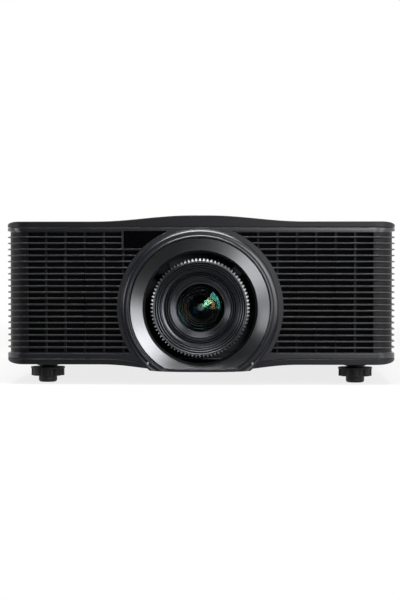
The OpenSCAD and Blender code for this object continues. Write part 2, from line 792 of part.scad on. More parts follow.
module guide_rods() color("#d0d2d5") for (s = [-1, 1])
    z_rod(s * rod_x, y_lip + rod_back, rod_r, base_top, bar_top);

module lift_screw() color("#c2b58a") z_rod(screw_x, y_lip + rod_back, rod_r, base_top + run, bar_top - run);

module lift_motor() color("#3b3d41")
    z_rod(screw_x, y_lip + rod_back, boss_r + 1, bar_top + bar_h, bar_top + bar_h + lift_motor_h);

// Inside the case

module deck_plate() color("#a3a6aa") difference() {
    box([-deck_x, deck_y0, z_floor], [deck_x, deck_y1, z_deck]);
    screw_places() z_rod(0, 0, screw_shank_r + fit, z_floor - past, z_deck + past);
}

module cover_screws() color("#6b6e72") screw_places() {
    z_rod(0, 0, screw_head_r, z_bot + fit, z_bot + screw_head_t + fit);
    z_rod(0, 0, screw_shank_r, z_bot + fit, z_deck + 1);
}

engine_w = 124;
engine_l = 140;
engine_up = 56;
engine_foot = 14;
engine_foot_h = 10;
light_bore = 30;
engine_y1 = engine_y0 + engine_l;
engine_z0 = z_deck + engine_foot_h;
module optical_engine() color("#77797d") difference() {
    union() {
        box([-engine_w / 2, engine_y0, engine_z0], [engine_w / 2, engine_y1, lens_z + engine_up]);
        for (x = [-engine_w / 2, engine_w / 2 - engine_foot], y = [engine_y0, engine_y1 - engine_foot])
            box([x, y, z_deck], [x + engine_foot, y + engine_foot, engine_z0 + past]);
    }
    lens_rod(tube_r - 5, tube_back, tube_back + light_bore);
}

side_gap = 13;
source_in = 10;
source_l = 110;
source_h = 80;
source_x0 = engine_w / 2 + side_gap;
source_y = [engine_y0 + source_in, engine_y0 + source_in + source_l];
source_z1 = z_deck + source_h;
module light_source() color("#3f5a73")
    box([source_x0, source_y[0], z_deck], [deck_x, source_y[1], source_z1]);

fin_pitch = 8;
fin_t = 2;
fin_l = 60;
sink_base = 5;
module laser_heatsink() color("#b9bcc0") {
    box([source_x0, source_y[1], z_deck], [deck_x, source_y[1] + sink_base, source_z1]);
    for (x = [source_x0 : fin_pitch : deck_x - fin_t])
        box([x, source_y[1], z_deck], [x + fin_t, source_y[1] + fin_l, source_z1]);
}

wheel_r = 36;
wheel_t = 1.5;
wheel_side = 52;
wheel_in = 20;
wheel_up = 46;
wheel_x = -engine_w / 2 - wheel_side;
wheel_y = engine_y0 + wheel_in;
wheel_z = z_deck + wheel_up;
wheel_shaft_r = 2;
wheel_hub_r = 10;
wheel_motor_r = 16;
wheel_motor_l = 18;
wheel_gap = 4;
wheel_motor_y = [wheel_y + wheel_gap, wheel_y + wheel_gap + wheel_motor_l];
module wheel_motor() color("#3b3d41") {
    box([wheel_x - wheel_motor_r, wheel_motor_y[0], z_deck],
        [wheel_x + wheel_motor_r, wheel_motor_y[1], wheel_z]);
    y_rod(wheel_x, wheel_z, wheel_motor_r, wheel_motor_y[0], wheel_motor_y[1]);
    y_rod(wheel_x, wheel_z, wheel_shaft_r, wheel_y - 4, wheel_motor_y[0] + past);
}
module phosphor_wheel() color("#d9c34a") difference() {
    union() {
        y_rod(wheel_x, wheel_z, wheel_r, wheel_y, wheel_y + wheel_t);
        y_rod(wheel_x, wheel_z, wheel_hub_r, wheel_y - 4, wheel_motor_y[0] - 2 * run);
    }
    y_rod(wheel_x, wheel_z, wheel_shaft_r + run, wheel_y - 4 - past, wheel_y + 4);
}

supply_gap = 40;
supply_l = 170;
supply_h = 52;
supply_y = [wheel_y + supply_gap, wheel_y + supply_gap + supply_l];
module power_supply() color("#9c9ea2")
    box([-deck_x, supply_y[0], z_deck], [-source_x0, supply_y[1], z_deck + supply_h]);

// Main board, with its chips each [x, z, side]
board_in = 6;
board_t = 1.6;
board_h = 118;
board_side = 15;
board_half = deck_x - board_side;
chip_t = 4;
CHIPS = [[-100, 60, 34], [-20, 70, 40], [60, 50, 26], [105, 85, 20]];
board_y = deck_y1 - board_in;
module main_board() color("#1f5a35") {
    box([-board_half, board_y, z_deck], [board_half, board_y + board_t, z_deck + board_h]);
    for (c = CHIPS)
        box([c[0], board_y - chip_t, z_deck + c[1]], [c[0] + c[2], board_y, z_deck + c[1] + c[2]]);
}

// Fans lie behind the side windows, with their axles across the case
fan_x0 = case_w / 2 - fan_in - fan_t;
shroud_t = 3;
module fan_frame(s) mirror([s > 0 ? 0 : 1, 0, 0]) {
    difference() {
        union() {
            box([fan_x0, fan_y - fan_size / 2, fan_z0],
                [fan_x0 + fan_t, fan_y + fan_size / 2, fan_z0 + fan_size]);
            // Plate that closes the rest of the side window
            box([fan_x0 + fan_t - shroud_t, y_face + column_w + 1, fan_z0],
                [fan_x0 + fan_t, y_face + side_window - 1, win_z1]);
        }
        x_rod(fan_y, fan_z, fan_size / 2 - 3, fan_x0 - past, fan_x0 + fan_t + past);
    }
    x_rod(fan_y, fan_z, fan_hub_r, fan_x0, fan_x0 + 3);
    x_rod(fan_y, fan_z, wheel_shaft_r, fan_x0, fan_x0 + fan_t - 4);
    for (a = [45, 135]) translate([fan_x0, fan_y, fan_z]) rotate([a, 0, 0])
        translate([0, -fan_size / 2 + 1, -2.5]) cube([3, fan_size - 2, 5]);
}
module fan_frames() color("#141416") {
    fan_frame(-1);
    fan_frame(1);
}

fan_blade_t = 1.6;
module fan_rotor(s) color("#1e1f22") mirror([s > 0 ? 0 : 1, 0, 0]) difference() {
    union() {
        x_rod(fan_y, fan_z, fan_hub_r, fan_x0 + 4, fan_x0 + fan_t - 2);
        intersection() {
            x_rod(fan_y, fan_z, fan_size / 2 - 5, fan_x0 + 4, fan_x0 + fan_t - 2);
            for (k = [0:fan_blades - 1]) translate([fan_x0 + fan_t / 2 + 1, fan_y, fan_z])
                rotate([k * 360 / fan_blades, 0, 0]) rotate([0, 0, 38])
                    translate([-fan_t, -fan_blade_t / 2, 0]) cube([2 * fan_t, fan_blade_t, fan_size]);
        }
    }
    x_rod(fan_y, fan_z, wheel_shaft_r + run, fan_x0, fan_x0 + fan_t - 3);
}
module fan_rotor_left() fan_rotor(-1);
module fan_rotor_right() fan_rotor(1);

// Pads behind the grilles, cut round the arch
filter_x = [0.3 * arch_r, case_w / 2 - corner_r];
filter_lap = 7;
module dust_filters() color("#101113") difference() {
    for (s = [-1, 1])
        box([s > 0 ? filter_x[0] : -filter_x[1], y_face + grille_d, win_z0],
            [s > 0 ? filter_x[1] : -filter_x[0], y_face + grille_d + filter_t, win_z1]);
    lens_rod(arch_r - filter_lap, 0, y_face + grille_d + filter_t + past - y_lip);
}

// Connectors in the rear bay

inlet_x = bay_x0 + 30;
inlet = [30, 22, 12];
inlet_well = [24.5, 16.5, 10.5];
rocker_x = inlet_x + 34;
rocker_w = 12;
rocker_half = 8.5;
rocker_axle_y = y_plate + 5;
rocker_axle_r = 1.2;
rocker_tilt = 10;
rocker_wall = 2;
module mains_inlet() color("#121214") {
    difference() {
        box([inlet_x - inlet.x / 2, y_plate, port_z - inlet.y / 2],
            [inlet_x + inlet.x / 2, y_plate + inlet.z, port_z + inlet.y / 2]);
        box([inlet_x - inlet_well.x / 2, y_plate + inlet.z - inlet_well.z, port_z - inlet_well.y / 2],
            [inlet_x + inlet_well.x / 2, y_plate + inlet.z + past, port_z + inlet_well.y / 2]);
    }
    for (p = [[-7, 0], [7, 0], [0, 4]])
        box([inlet_x + p[0] - 1, y_plate, port_z + p[1] - 1],
            [inlet_x + p[0] + 1, y_plate + 10, port_z + p[1] + 3]);
    difference() {
        rocker_case(rocker_wall);
        rocker_case(0);
        x_rod(rocker_axle_y, port_z, rocker_axle_r + run / 2, rocker_x - 20, rocker_x + 20);
    }
}

// Space round the rocker, grown by the thickness of its case
module rocker_case(grow) {
    half_x = rocker_w / 2 + run + grow;
    half_z = rocker_half + 2 + grow;
    box([rocker_x - half_x, grow > 0 ? y_plate : y_plate - past, port_z - half_z],
        [rocker_x + half_x, y_plate + (grow > 0 ? 8 : 20), port_z + half_z]);
}

module power_rocker() color("#1a1a1c") translate([0, rocker_axle_y, port_z]) rotate([rocker_tilt, 0, 0]) {
    along_x(rocker_x - rocker_w / 2, rocker_x + rocker_w / 2)
        polygon([[-2.6, -rocker_half], [3, -rocker_half], [1.6, 0], [3, rocker_half], [-2.6, rocker_half]]);
    x_rod(0, 0, rocker_axle_r, rocker_x - rocker_w / 2 - rocker_wall, rocker_x + rocker_w / 2 + rocker_wall);
}

// A rectangular port: an outer shell and its mouth
module port(x, z, outer, mouth, depth) difference() {
    box([x - outer.x / 2, y_plate, z - outer.y / 2], [x + outer.x / 2, y_plate + depth, z + outer.y / 2]);
    box([x - mouth.x / 2, y_plate + 1.5, z - mouth.y / 2],
        [x + mouth.x / 2, y_plate + depth + past, z + mouth.y / 2]);
}

// A D-shaped connector with its two jack posts
module d_port(x, z, w) {
    along_y(y_plate, y_plate + 5.5) translate([x, z])
        polygon([[-w / 2, 4.2], [w / 2, 4.2], [w / 2 - 1.6, -4.2], [-w / 2 + 1.6, -4.2]]);
    box([x - w / 2 - 7, y_plate, z - 6], [x + w / 2 + 7, y_plate + 1, z + 6]);
    for (s = [-1, 1]) translate([x + s * (w / 2 + 4), y_plate, z]) rotate([-90, 0, 0])
        cylinder(r = 2.4, h = 5, $fn = 6);
}

port_x = [for (k = [0:6]) rocker_x + 34 + k * 31];
module video_ports() color("#9fa2a6") {
    for (z = [-15, 15]) {
        port(port_x[0], port_z + z, [16, 7], [14, 4.4], 6);
        translate([port_x[0] - 5, y_plate + 1, port_z + z - 0.5]) cube([10, 4, 1.2]);
        d_port(port_x[1] + 3, port_z + z, 17);
    }
    for (z = [-16, 0, 16]) {
        y_rod(port_x[2] + 6, port_z + z, 5.5, y_plate, y_plate + 3);
        y_rod(port_x[2] + 6, port_z + z, 4.6, y_plate, y_plate + 10);
        translate([port_x[2] + 6, 0, port_z + z]) x_rod(y_plate + 8, 0, 1, -6, 6);
    }
}

lan_size = [16, 14];
lan_mouth = [11.8, 8];
lan_depth = 11;
module data_ports() color("#85888c") {
    port(port_x[3], port_z - 14, lan_size, lan_mouth, lan_depth);
    d_port(port_x[4] + 6, port_z - 14, 17);
    port(port_x[3], port_z + 14, [14.5, 7.5], [13, 5.6], 6);
    translate([port_x[3] - 5.5, y_plate + 1, port_z + 14]) cube([11, 4, 2]);
    for (k = [0:2]) difference() {
        y_rod(port_x[4] - 6 + k * 12, port_z + 14, 4.4, y_plate, y_plate + 4);
        y_rod(port_x[4] - 6 + k * 12, port_z + 14, 1.8, y_plate + 1, y_plate + 4 + past);
    }
}

// Buttons

module button(b) color("#3a3b3f") {
    y_rod(b.x, b.y, button_r, y_back - wall - fit - blend, y_back + button_proud);
    y_rod(b.x, b.y, button_r + button_flange, y_back - wall - fit - button_flange_t, y_back - wall - fit);
}
module enter_button() button(enter_at);
module up_button() button(up_at);
module down_button() button(down_at);
module left_button() button(left_at);
module right_button() button(right_at);
module power_button() button(power_at);
module menu_button() button(menu_at);

module keypad_board() color("#1f5a35") {
    box([pad_x - keypad_w / 2, y_switch - 3.6, keypad_z - keypad_h / 2],
        [pad_x + keypad_w / 2, y_switch - 2, keypad_z + keypad_h / 2]);
    for (b = BUTTONS) y_rod(b.x, b.y, 2, y_switch - 2, y_switch);
}

// Feet

module foot_stem(f) color("#2a2b2e") translate(f) {
    z_rod(0, 0, stem_r, knob_top + run, stem_top);
    z_rod(0, 0, pin_r, tip_h - 2, knob_top + run + past);
}
module foot_stem_fl() foot_stem(foot_fl);
module foot_stem_fr() foot_stem(foot_fr);
module foot_stem_rl() foot_stem(foot_rl);
module foot_stem_rr() foot_stem(foot_rr);

rim_h = 2;
tip_round = 3;
module foot_knob(f) color("#17181a") translate(f) difference() {
    union() {
        rotate_extrude() {
            square([tip_r - tip_round, tip_round]);
            translate([0, tip_round]) square([tip_r, tip_h - tip_round + past]);
            translate([tip_r - tip_round, tip_round]) intersection() {
                circle(tip_round);
                translate([0, -tip_round]) square(tip_round);
            }
        }
        upright(tip_h, knob_top - rim_h + blend) difference() {
            circle(knob_r - 0.6);
            for (k = [0:knob_lobes - 1])
                rotate((k + 0.5) * 360 / knob_lobes) translate([knob_r + 2, 0]) circle(5);
        }
        z_rod(0, 0, knob_r, knob_top - rim_h, knob_top);
    }
    z_rod(0, 0, pin_r + run, tip_h - 2 - run, knob_top + past);
}
module foot_knob_fl() foot_knob(foot_fl);
module foot_knob_fr() foot_knob(foot_fr);
module foot_knob_rl() foot_knob(foot_rl);
module foot_knob_rr() foot_knob(foot_rr);

top_cover();
bottom_cover();
front_bezel();
grille_left();
grille_right();
side_panel_left();
side_panel_right();
rear_panel();
io_plate();
trim_ring();
opening_ring();
sensor_window();
bezel_pins();
lens_hood();
lens_barrel();
front_element();
inner_elements();
focus_ring();
zoom_ring();
lens_motors();
focus_pinion();
zoom_pinion();
lens_mount();
shift_base();
guide_rods();
lift_screw();
lift_motor();
deck_plate();
optical_engine();
light_source();
laser_heatsink();
phosphor_wheel();
wheel_motor();
power_supply();
main_board();
fan_frames();
fan_rotor_left();
fan_rotor_right();
dust_filters();
mains_inlet();
power_rocker();
video_ports();
data_ports();
keypad_board();
cover_screws();
power_button();
menu_button();
up_button();
down_button();
left_button();
right_button();
enter_button();
foot_stem_fl();
foot_stem_fr();
foot_stem_rl();
foot_stem_rr();
foot_knob_fl();
foot_knob_fr();
foot_knob_rl();
foot_knob_rr();
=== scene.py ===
"""Looks of the video projector: finishes for every solid, the fine louvres, the lens, the feet, the keys and
connectors at the back, and the studio."""
import math

import bmesh
import bpy
from mathutils import Matrix, Quaternion, Vector


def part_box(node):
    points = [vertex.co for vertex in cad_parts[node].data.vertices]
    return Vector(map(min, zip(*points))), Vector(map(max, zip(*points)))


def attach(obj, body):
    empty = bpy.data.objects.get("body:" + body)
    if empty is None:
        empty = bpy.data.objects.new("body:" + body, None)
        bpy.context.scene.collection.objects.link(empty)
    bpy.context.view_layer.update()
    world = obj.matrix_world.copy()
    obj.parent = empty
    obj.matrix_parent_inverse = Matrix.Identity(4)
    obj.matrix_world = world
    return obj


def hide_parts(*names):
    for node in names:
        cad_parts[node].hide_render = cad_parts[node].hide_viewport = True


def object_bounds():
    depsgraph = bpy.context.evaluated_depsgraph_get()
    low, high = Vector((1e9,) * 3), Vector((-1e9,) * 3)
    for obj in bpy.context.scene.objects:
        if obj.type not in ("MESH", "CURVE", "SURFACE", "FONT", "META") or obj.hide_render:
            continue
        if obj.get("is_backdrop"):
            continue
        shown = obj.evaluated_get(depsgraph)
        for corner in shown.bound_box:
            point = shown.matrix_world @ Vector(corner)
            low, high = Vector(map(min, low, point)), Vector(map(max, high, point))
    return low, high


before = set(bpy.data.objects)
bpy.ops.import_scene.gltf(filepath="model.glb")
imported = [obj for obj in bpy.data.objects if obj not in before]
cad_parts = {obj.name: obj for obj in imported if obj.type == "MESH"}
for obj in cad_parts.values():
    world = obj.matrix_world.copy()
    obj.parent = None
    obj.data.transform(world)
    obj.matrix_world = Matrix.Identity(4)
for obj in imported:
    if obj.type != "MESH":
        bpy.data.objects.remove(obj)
cad_low, cad_high = (corner.copy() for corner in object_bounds())

# Places read from the frame, in metres
MM = 0.001
TAU = 2 * math.pi
# Width of the bezel's frame behind the side louvres
BEZEL_REAR = 12.0 * MM
lip_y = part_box("front_bezel")[0].y
face_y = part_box("top_cover")[0].y
half_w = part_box("top_cover")[1].x
lens_z = sum(corner.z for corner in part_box("lens_hood")) / 2
window_low, window_high = (corner.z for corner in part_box("dust_filters"))
window_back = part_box("front_bezel")[1].y - BEZEL_REAR
plate_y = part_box("io_plate")[1].y


# Finishes

# Middle span of a noise texture, which rarely comes near 0 or 1
NOISE_SPAN = {"From Min": 0.3, "From Max": 0.7}
# Moulded plastic: size of its flow mottle in millimetres, its refractive index, and the cosines between
# the rounded and the flat normal where an edge's rubbing and painted highlight start, and where they are full
FLOW = 35.0
PLASTIC_INDEX = 1.53
RUB_HIGHLIGHT_SPAN = {"From Min": 0.98, "From Max": 0.8}
# Film on coated glass: thickness in nanometres, and refractive index
FILM_NM = 372.0
FILM_INDEX = 1.38
# Light port: radii in millimetres between which its painted pale glow fades to painted shade
GLOW_PAINT_R = 1.6
SHADE_PAINT_R = 5.4


def linear(hex_colour):
    """An sRGB hex colour as linear RGBA."""
    shares = [int(hex_colour[k:k + 2], 16) / 255 for k in (1, 3, 5)]
    return [s / 12.92 if s <= 0.04045 else ((s + 0.055) / 1.055) ** 2.4 for s in shares] + [1.0]


def add(tree, kind, inputs=None, **settings):
    """Adds one node. A setting is a property, an input is a value or the output that feeds it."""
    node = tree.nodes.new(kind)
    for name, value in settings.items():
        setattr(node, name, value)
    for name, value in (inputs or {}).items():
        if isinstance(value, bpy.types.NodeSocket):
            tree.links.new(value, node.inputs[name])
        else:
            node.inputs[name].default_value = value
    return node


def per_mm(size):
    """Texture scale at which one feature is this many millimetres across."""
    return 1 / (size * MM)


def open_finish(name):
    """A new material, its emptied tree and the Object coordinates in it."""
    material = bpy.data.materials.new(name)
    material.use_nodes = True
    tree = material.node_tree
    tree.nodes.clear()
    return material, tree, add(tree, "ShaderNodeTexCoord").outputs["Object"]


def close_finish(tree, inputs):
    """Gives the tree its one shader."""
    shader = add(tree, "ShaderNodeBsdfPrincipled", inputs)
    add(tree, "ShaderNodeOutputMaterial", {"Surface": shader.outputs["BSDF"]})


def around_lens(tree, place):
    """The spoke from the lens axis to a place, and its length."""
    spoke = add(tree, "ShaderNodeMapping", {"Vector": place, "Location": (0, 0, -lens_z), "Scale": (1, 0, 1)})
    spoke = spoke.outputs["Vector"]
    return spoke, add(tree, "ShaderNodeVectorMath", {0: spoke}, operation="LENGTH").outputs["Value"]


def moulded(name, dark, light, roughness, grain, gloss, edge=0.5, rub_highlight=None):
    """Injection-moulded plastic: even satin with a faint flow mottle, and edges that catch light over their
    small moulded radius, where handling has rubbed them smoother and where they are painted paler as a
    highlight. The pebble of the tool's eroded surface is finer than a pixel, so it is drawn coarser."""
    material, tree, place = open_finish(name)
    flow = add(tree, "ShaderNodeTexNoise", {"Vector": place, "Scale": per_mm(FLOW), "Detail": 3.0})
    pebble = add(tree, "ShaderNodeTexNoise", {"Vector": place, "Scale": per_mm(grain), "Detail": 2.0})
    pebble = pebble.outputs["Fac"]
    shade = add(tree, "ShaderNodeMix", {"Factor": flow.outputs["Fac"], 6: linear(dark), 7: linear(light)},
                data_type="RGBA")
    satin = add(tree, "ShaderNodeMapRange", {"Value": pebble, **NOISE_SPAN, "To Min": roughness - 0.05,
                                             "To Max": roughness + 0.07})
    edges = add(tree, "ShaderNodeBevel", {"Radius": edge * MM}, samples=4).outputs["Normal"]
    flat = add(tree, "ShaderNodeNewGeometry").outputs["Normal"]
    along = add(tree, "ShaderNodeVectorMath", {0: edges, 1: flat}, operation="DOT_PRODUCT").outputs["Value"]
    rubbed_highlight = add(tree, "ShaderNodeMapRange", {"Value": along, **RUB_HIGHLIGHT_SPAN})
    rubbed_highlight = rubbed_highlight.outputs["Result"]
    # Painted highlight: the rounded edges are mixed towards the paler rub colour, which also stands for wear
    worn_highlight = add(tree, "ShaderNodeMix", {"Factor": rubbed_highlight, 6: shade.outputs[2], 7: linear(rub_highlight or light)},
               data_type="RGBA")
    smooth = add(tree, "ShaderNodeMix", {"Factor": rubbed_highlight, "A": satin.outputs["Result"],
                                         "B": 0.7 * roughness})
    bump = add(tree, "ShaderNodeBump", {"Height": pebble, "Distance": 0.05 * grain * MM, "Strength": 0.35,
                                        "Normal": edges})
    close_finish(tree, {"Base Color": worn_highlight.outputs[2], "Roughness": smooth.outputs["Result"],
                        "IOR": PLASTIC_INDEX, "Normal": bump.outputs["Normal"], "Specular IOR Level": gloss})
    return material


def turned(name, dark, light, roughness, mark, metallic, anisotropy=0.0):
    """Turned on a lathe: fine rings round the lens axis, which fan the highlights out along the radius, so
    that a lamp shows as two bright wedges. Real tool marks are finer than a pixel, so they are drawn
    wider."""
    material, tree, place = open_finish(name)
    spoke, radius = around_lens(tree, place)
    marks = add(tree, "ShaderNodeTexNoise", {"W": radius, "Scale": per_mm(mark), "Detail": 1.0},
                noise_dimensions="1D").outputs["Fac"]
    shade = add(tree, "ShaderNodeMix", {"Factor": marks, 6: linear(dark), 7: linear(light)}, data_type="RGBA")
    satin = add(tree, "ShaderNodeMapRange", {"Value": marks, **NOISE_SPAN, "To Min": roughness - 0.04,
                                             "To Max": roughness + 0.06})
    bump = add(tree, "ShaderNodeBump", {"Height": marks, "Distance": 0.02 * MM, "Strength": 0.4})
    close_finish(tree, {"Base Color": shade.outputs[2], "Roughness": satin.outputs["Result"],
                        "Metallic": metallic, "Normal": bump.outputs["Normal"], "Anisotropic": anisotropy,
                        "Tangent": spoke})
    return material


def worked(name, dark, light, roughness, grain, stretch=(1, 1, 1), bump_mm=0.02):
    """Cast, drawn or plated metal: a grain, stretched where the metal was rolled or brushed."""
    material, tree, place = open_finish(name)
    rolled = add(tree, "ShaderNodeMapping", {"Vector": place, "Scale": stretch}).outputs["Vector"]
    grains = add(tree, "ShaderNodeTexNoise", {"Vector": rolled, "Scale": per_mm(grain), "Detail": 4.0})
    grains = grains.outputs["Fac"]
    shade = add(tree, "ShaderNodeMix", {"Factor": grains, 6: linear(dark), 7: linear(light)},
                data_type="RGBA")
    satin = add(tree, "ShaderNodeMapRange", {"Value": grains, **NOISE_SPAN, "To Min": roughness - 0.06,
                                             "To Max": roughness + 0.08})
    bump = add(tree, "ShaderNodeBump", {"Height": grains, "Distance": bump_mm * MM, "Strength": 0.5})
    close_finish(tree, {"Base Color": shade.outputs[2], "Roughness": satin.outputs["Result"], "Metallic": 1.0,
                        "Normal": bump.outputs["Normal"]})
    return material


def coated_glass(name, index, tint):
    """Optical glass with a magnesium fluoride film against reflections: dark to look into, with coloured
    glints of the lamps. A faint polishing haze keeps the glints from being perfectly even."""
    material, tree, place = open_finish(name)
    haze = add(tree, "ShaderNodeTexNoise", {"Vector": place, "Scale": per_mm(14), "Detail": 1.0})
    polish = add(tree, "ShaderNodeMapRange", {"Value": haze.outputs["Fac"], "To Min": 0.01, "To Max": 0.05})
    close_finish(tree, {"Base Color": linear(tint), "Roughness": polish.outputs["Result"], "IOR": index,
                        "Transmission Weight": 1.0, "Thin Film Thickness": FILM_NM,
                        "Thin Film IOR": FILM_INDEX})
    return material


def painted_glow_disc(name, middle, rim):
    """Ground glass at the end of the light path: painted pale at its middle, where it stands in for a
    reflection, and painted dim towards its rim as shade."""
    material, tree, place = open_finish(name)
    _, radius = around_lens(tree, place)
    grit = add(tree, "ShaderNodeTexNoise", {"Vector": place, "Scale": per_mm(0.8)}).outputs["Fac"]
    # Painted reflection and shade: pale in the middle, dark towards the rim
    fade = add(tree, "ShaderNodeMapRange", {"Value": radius, "From Min": GLOW_PAINT_R * MM, "From Max": SHADE_PAINT_R * MM},
               interpolation_type="SMOOTHSTEP").outputs["Result"]
    shade = add(tree, "ShaderNodeMix", {"Factor": fade, 6: linear(middle), 7: linear(rim)}, data_type="RGBA")
    bump = add(tree, "ShaderNodeBump", {"Height": grit, "Distance": 0.02 * MM, "Strength": 0.4})
    close_finish(tree, {"Base Color": shade.outputs[2], "Roughness": 0.5, "Normal": bump.outputs["Normal"]})
    return material


def filter_foam(name, dark, light, pore):
    """Open-cell polyurethane: dark pores in a soft web, with no gloss."""
    material, tree, place = open_finish(name)
    pores = add(tree, "ShaderNodeTexVoronoi", {"Vector": place, "Scale": per_mm(pore)}).outputs["Distance"]
    shade = add(tree, "ShaderNodeMix", {"Factor": pores, 6: linear(light), 7: linear(dark)}, data_type="RGBA")
    bump = add(tree, "ShaderNodeBump", {"Height": pores, "Distance": 0.6 * MM, "Strength": 0.8})
    close_finish(tree, {"Base Color": shade.outputs[2], "Roughness": 0.95, "Specular IOR Level": 0.1,
                        "Normal": bump.outputs["Normal"]})
    return material


def circuit_board(name):
    """Glass-epoxy board under solder mask: copper areas show darker, and the weave ripples the gloss."""
    material, tree, place = open_finish(name)
    copper = add(tree, "ShaderNodeTexVoronoi", {"Vector": place, "Scale": per_mm(9)}, distance="CHEBYCHEV")
    weave = add(tree, "ShaderNodeTexNoise", {"Vector": place, "Scale": per_mm(1.2), "Detail": 1.0})
    shade = add(tree, "ShaderNodeMix", {"Factor": copper.outputs["Distance"], 6: linear("#10401f"),
                                        7: linear("#1d5c2f")}, data_type="RGBA")
    bump = add(tree, "ShaderNodeBump", {"Height": weave.outputs["Fac"], "Distance": 0.03 * MM,
                                        "Strength": 0.5})
    close_finish(tree, {"Base Color": shade.outputs[2], "Roughness": 0.35, "Normal": bump.outputs["Normal"]})
    return material


# What the three coloured jacks share
JACK_SATIN = {"roughness": 0.4, "grain": 0.8, "gloss": 0.4, "edge": 0.2}
FINISH = {
    # The rub colours below are the paler edges: partly wear, partly a painted highlight
    "cover": moulded("abs_eroded_charcoal", "#080910", "#0c0d15", roughness=0.45, grain=0.7, gloss=0.42,
                     edge=1.8, rub_highlight="#26272c"),
    "bezel": moulded("abs_satin_charcoal", "#0f1018", "#15161f", roughness=0.3, grain=0.25, gloss=0.9,
                     rub_highlight="#26272e"),
    "louvre": moulded("abs_satin_black", "#15161d", "#1b1c24", roughness=0.28, grain=0.22, gloss=0.95,
                      edge=0.3, rub_highlight="#2c2d33"),
    "dark": moulded("abs_matt_black", "#060609", "#0a0a0f", roughness=0.5, grain=1.0, gloss=0.3),
    "knob": moulded("nylon_black", "#050506", "#090a0b", roughness=0.45, grain=1.1, gloss=0.25),
    "key": moulded("silicone_key_grey", "#36373b", "#424347", roughness=0.55, grain=0.8, gloss=0.35),
    "legend": moulded("pad_print_white", "#c9cacc", "#dcdddf", roughness=0.6, grain=0.6, gloss=0.4,
                      edge=0.05),
    "blue_jack": moulded("nylon_moulded_blue", "#3d7fae", "#4a8cba", **JACK_SATIN),
    "green_jack": moulded("nylon_moulded_green", "#5c9a3c", "#6aa849", **JACK_SATIN),
    "pink_jack": moulded("nylon_moulded_pink", "#b9637c", "#c5708a", **JACK_SATIN),
    "window": moulded("acrylic_infrared_black", "#030304", "#060608", roughness=0.08, grain=4.0, gloss=0.45,
                      edge=0.4),
    "plate": moulded("powder_coat_graphite", "#26272a", "#2f3033", roughness=0.55, grain=0.8, gloss=0.4,
                     edge=0.3),
    "trim": turned("aluminium_turned_satin", "#c6c8cc", "#d9dbde", roughness=0.47, mark=0.5, metallic=1.0,
                   anisotropy=1.0),
    "ring": turned("nickel_cut_teeth", "#b9bbbe", "#d2d4d7", roughness=0.34, mark=0.6, metallic=1.0),
    "hood": turned("aluminium_black_anodised", "#5d5e63", "#6d6e73", roughness=0.33, mark=0.5, metallic=0.92),
    "cell": turned("aluminium_blackened_matt", "#27282b", "#36373b", roughness=0.42, mark=0.5, metallic=0.85),
    "steel": worked("steel_bright", "#a7a9ac", "#c6c8cb", roughness=0.28, grain=0.8),
    "sheet": worked("steel_zinc_sheet", "#6c6f73", "#83868a", roughness=0.42, grain=3.0, stretch=(1, 1, 8)),
    "cast": worked("aluminium_die_cast", "#505256", "#64666a", roughness=0.5, grain=1.5, bump_mm=0.08),
    "can": worked("motor_can_nickel", "#3a3c40", "#4c4e52", roughness=0.38, grain=1.0),
    "shell": worked("tin_plated_shell", "#9b9ea2", "#b9bcc0", roughness=0.3, grain=1.0),
    "gold": worked("gold_flash_contact", "#b98f3e", "#d8b25c", roughness=0.25, grain=1.0),
    "brass": worked("brass_cut", "#7d6433", "#a5854a", roughness=0.35, grain=0.8),
    "disc": worked("phosphor_coat", "#b9a338", "#d9c34a", roughness=0.6, grain=0.6),
    "glass": coated_glass("crown_glass_green_coated", 1.52, "#eef6f3"),
    "glass_blue": coated_glass("flint_glass_teal_coated", 1.8, "#eaf4f6"),
    "port": painted_glow_disc("glass_ground_painted_glow", "#f4faff", "#10151a"),
    "foam": filter_foam("polyurethane_filter_foam", "#040404", "#0d0d0f", pore=1.6),
    "board": circuit_board("glass_epoxy_board"),
}


# Modelling helpers

# Faces that meet at a smaller angle are shaded as one, and closer vertices become one
CREASE = math.radians(34)
WELD = 0.002 * MM


def joined_smooth_group():
    """Joins a solid's loose triangles and shades its faces smooth up to a crease."""
    group = bpy.data.node_groups.new("joined_smooth", "GeometryNodeTree")
    group.interface.new_socket("Geometry", in_out="INPUT", socket_type="NodeSocketGeometry")
    group.interface.new_socket("Geometry", in_out="OUTPUT", socket_type="NodeSocketGeometry")
    entry = add(group, "NodeGroupInput").outputs[0]
    bare = add(group, "GeometryNodeRemoveAttribute", {"Geometry": entry, "Name": "custom_normal"})
    joined = add(group, "GeometryNodeMergeByDistance", {"Geometry": bare.outputs[0], "Distance": WELD})
    bend = add(group, "GeometryNodeInputMeshEdgeAngle").outputs["Unsigned Angle"]
    soft = add(group, "FunctionNodeCompare", {"A": bend, "B": CREASE}, operation="LESS_THAN")
    faces = add(group, "GeometryNodeSetShadeSmooth", {"Geometry": joined.outputs[0]}, domain="FACE")
    edges = add(group, "GeometryNodeSetShadeSmooth", {"Geometry": faces.outputs[0],
                                                      "Shade Smooth": soft.outputs["Result"]}, domain="EDGE")
    add(group, "NodeGroupOutput", {0: edges.outputs[0]})
    return group


JOINED_SMOOTH = joined_smooth_group()


def dress(finish, names):
    """Gives solids their finish and smooth shading."""
    for name in names.split():
        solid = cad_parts[name]
        solid.data.materials.clear()
        solid.data.materials.append(FINISH[finish])
        solid.modifiers.new("joined", "NODES").node_group = JOINED_SMOOTH


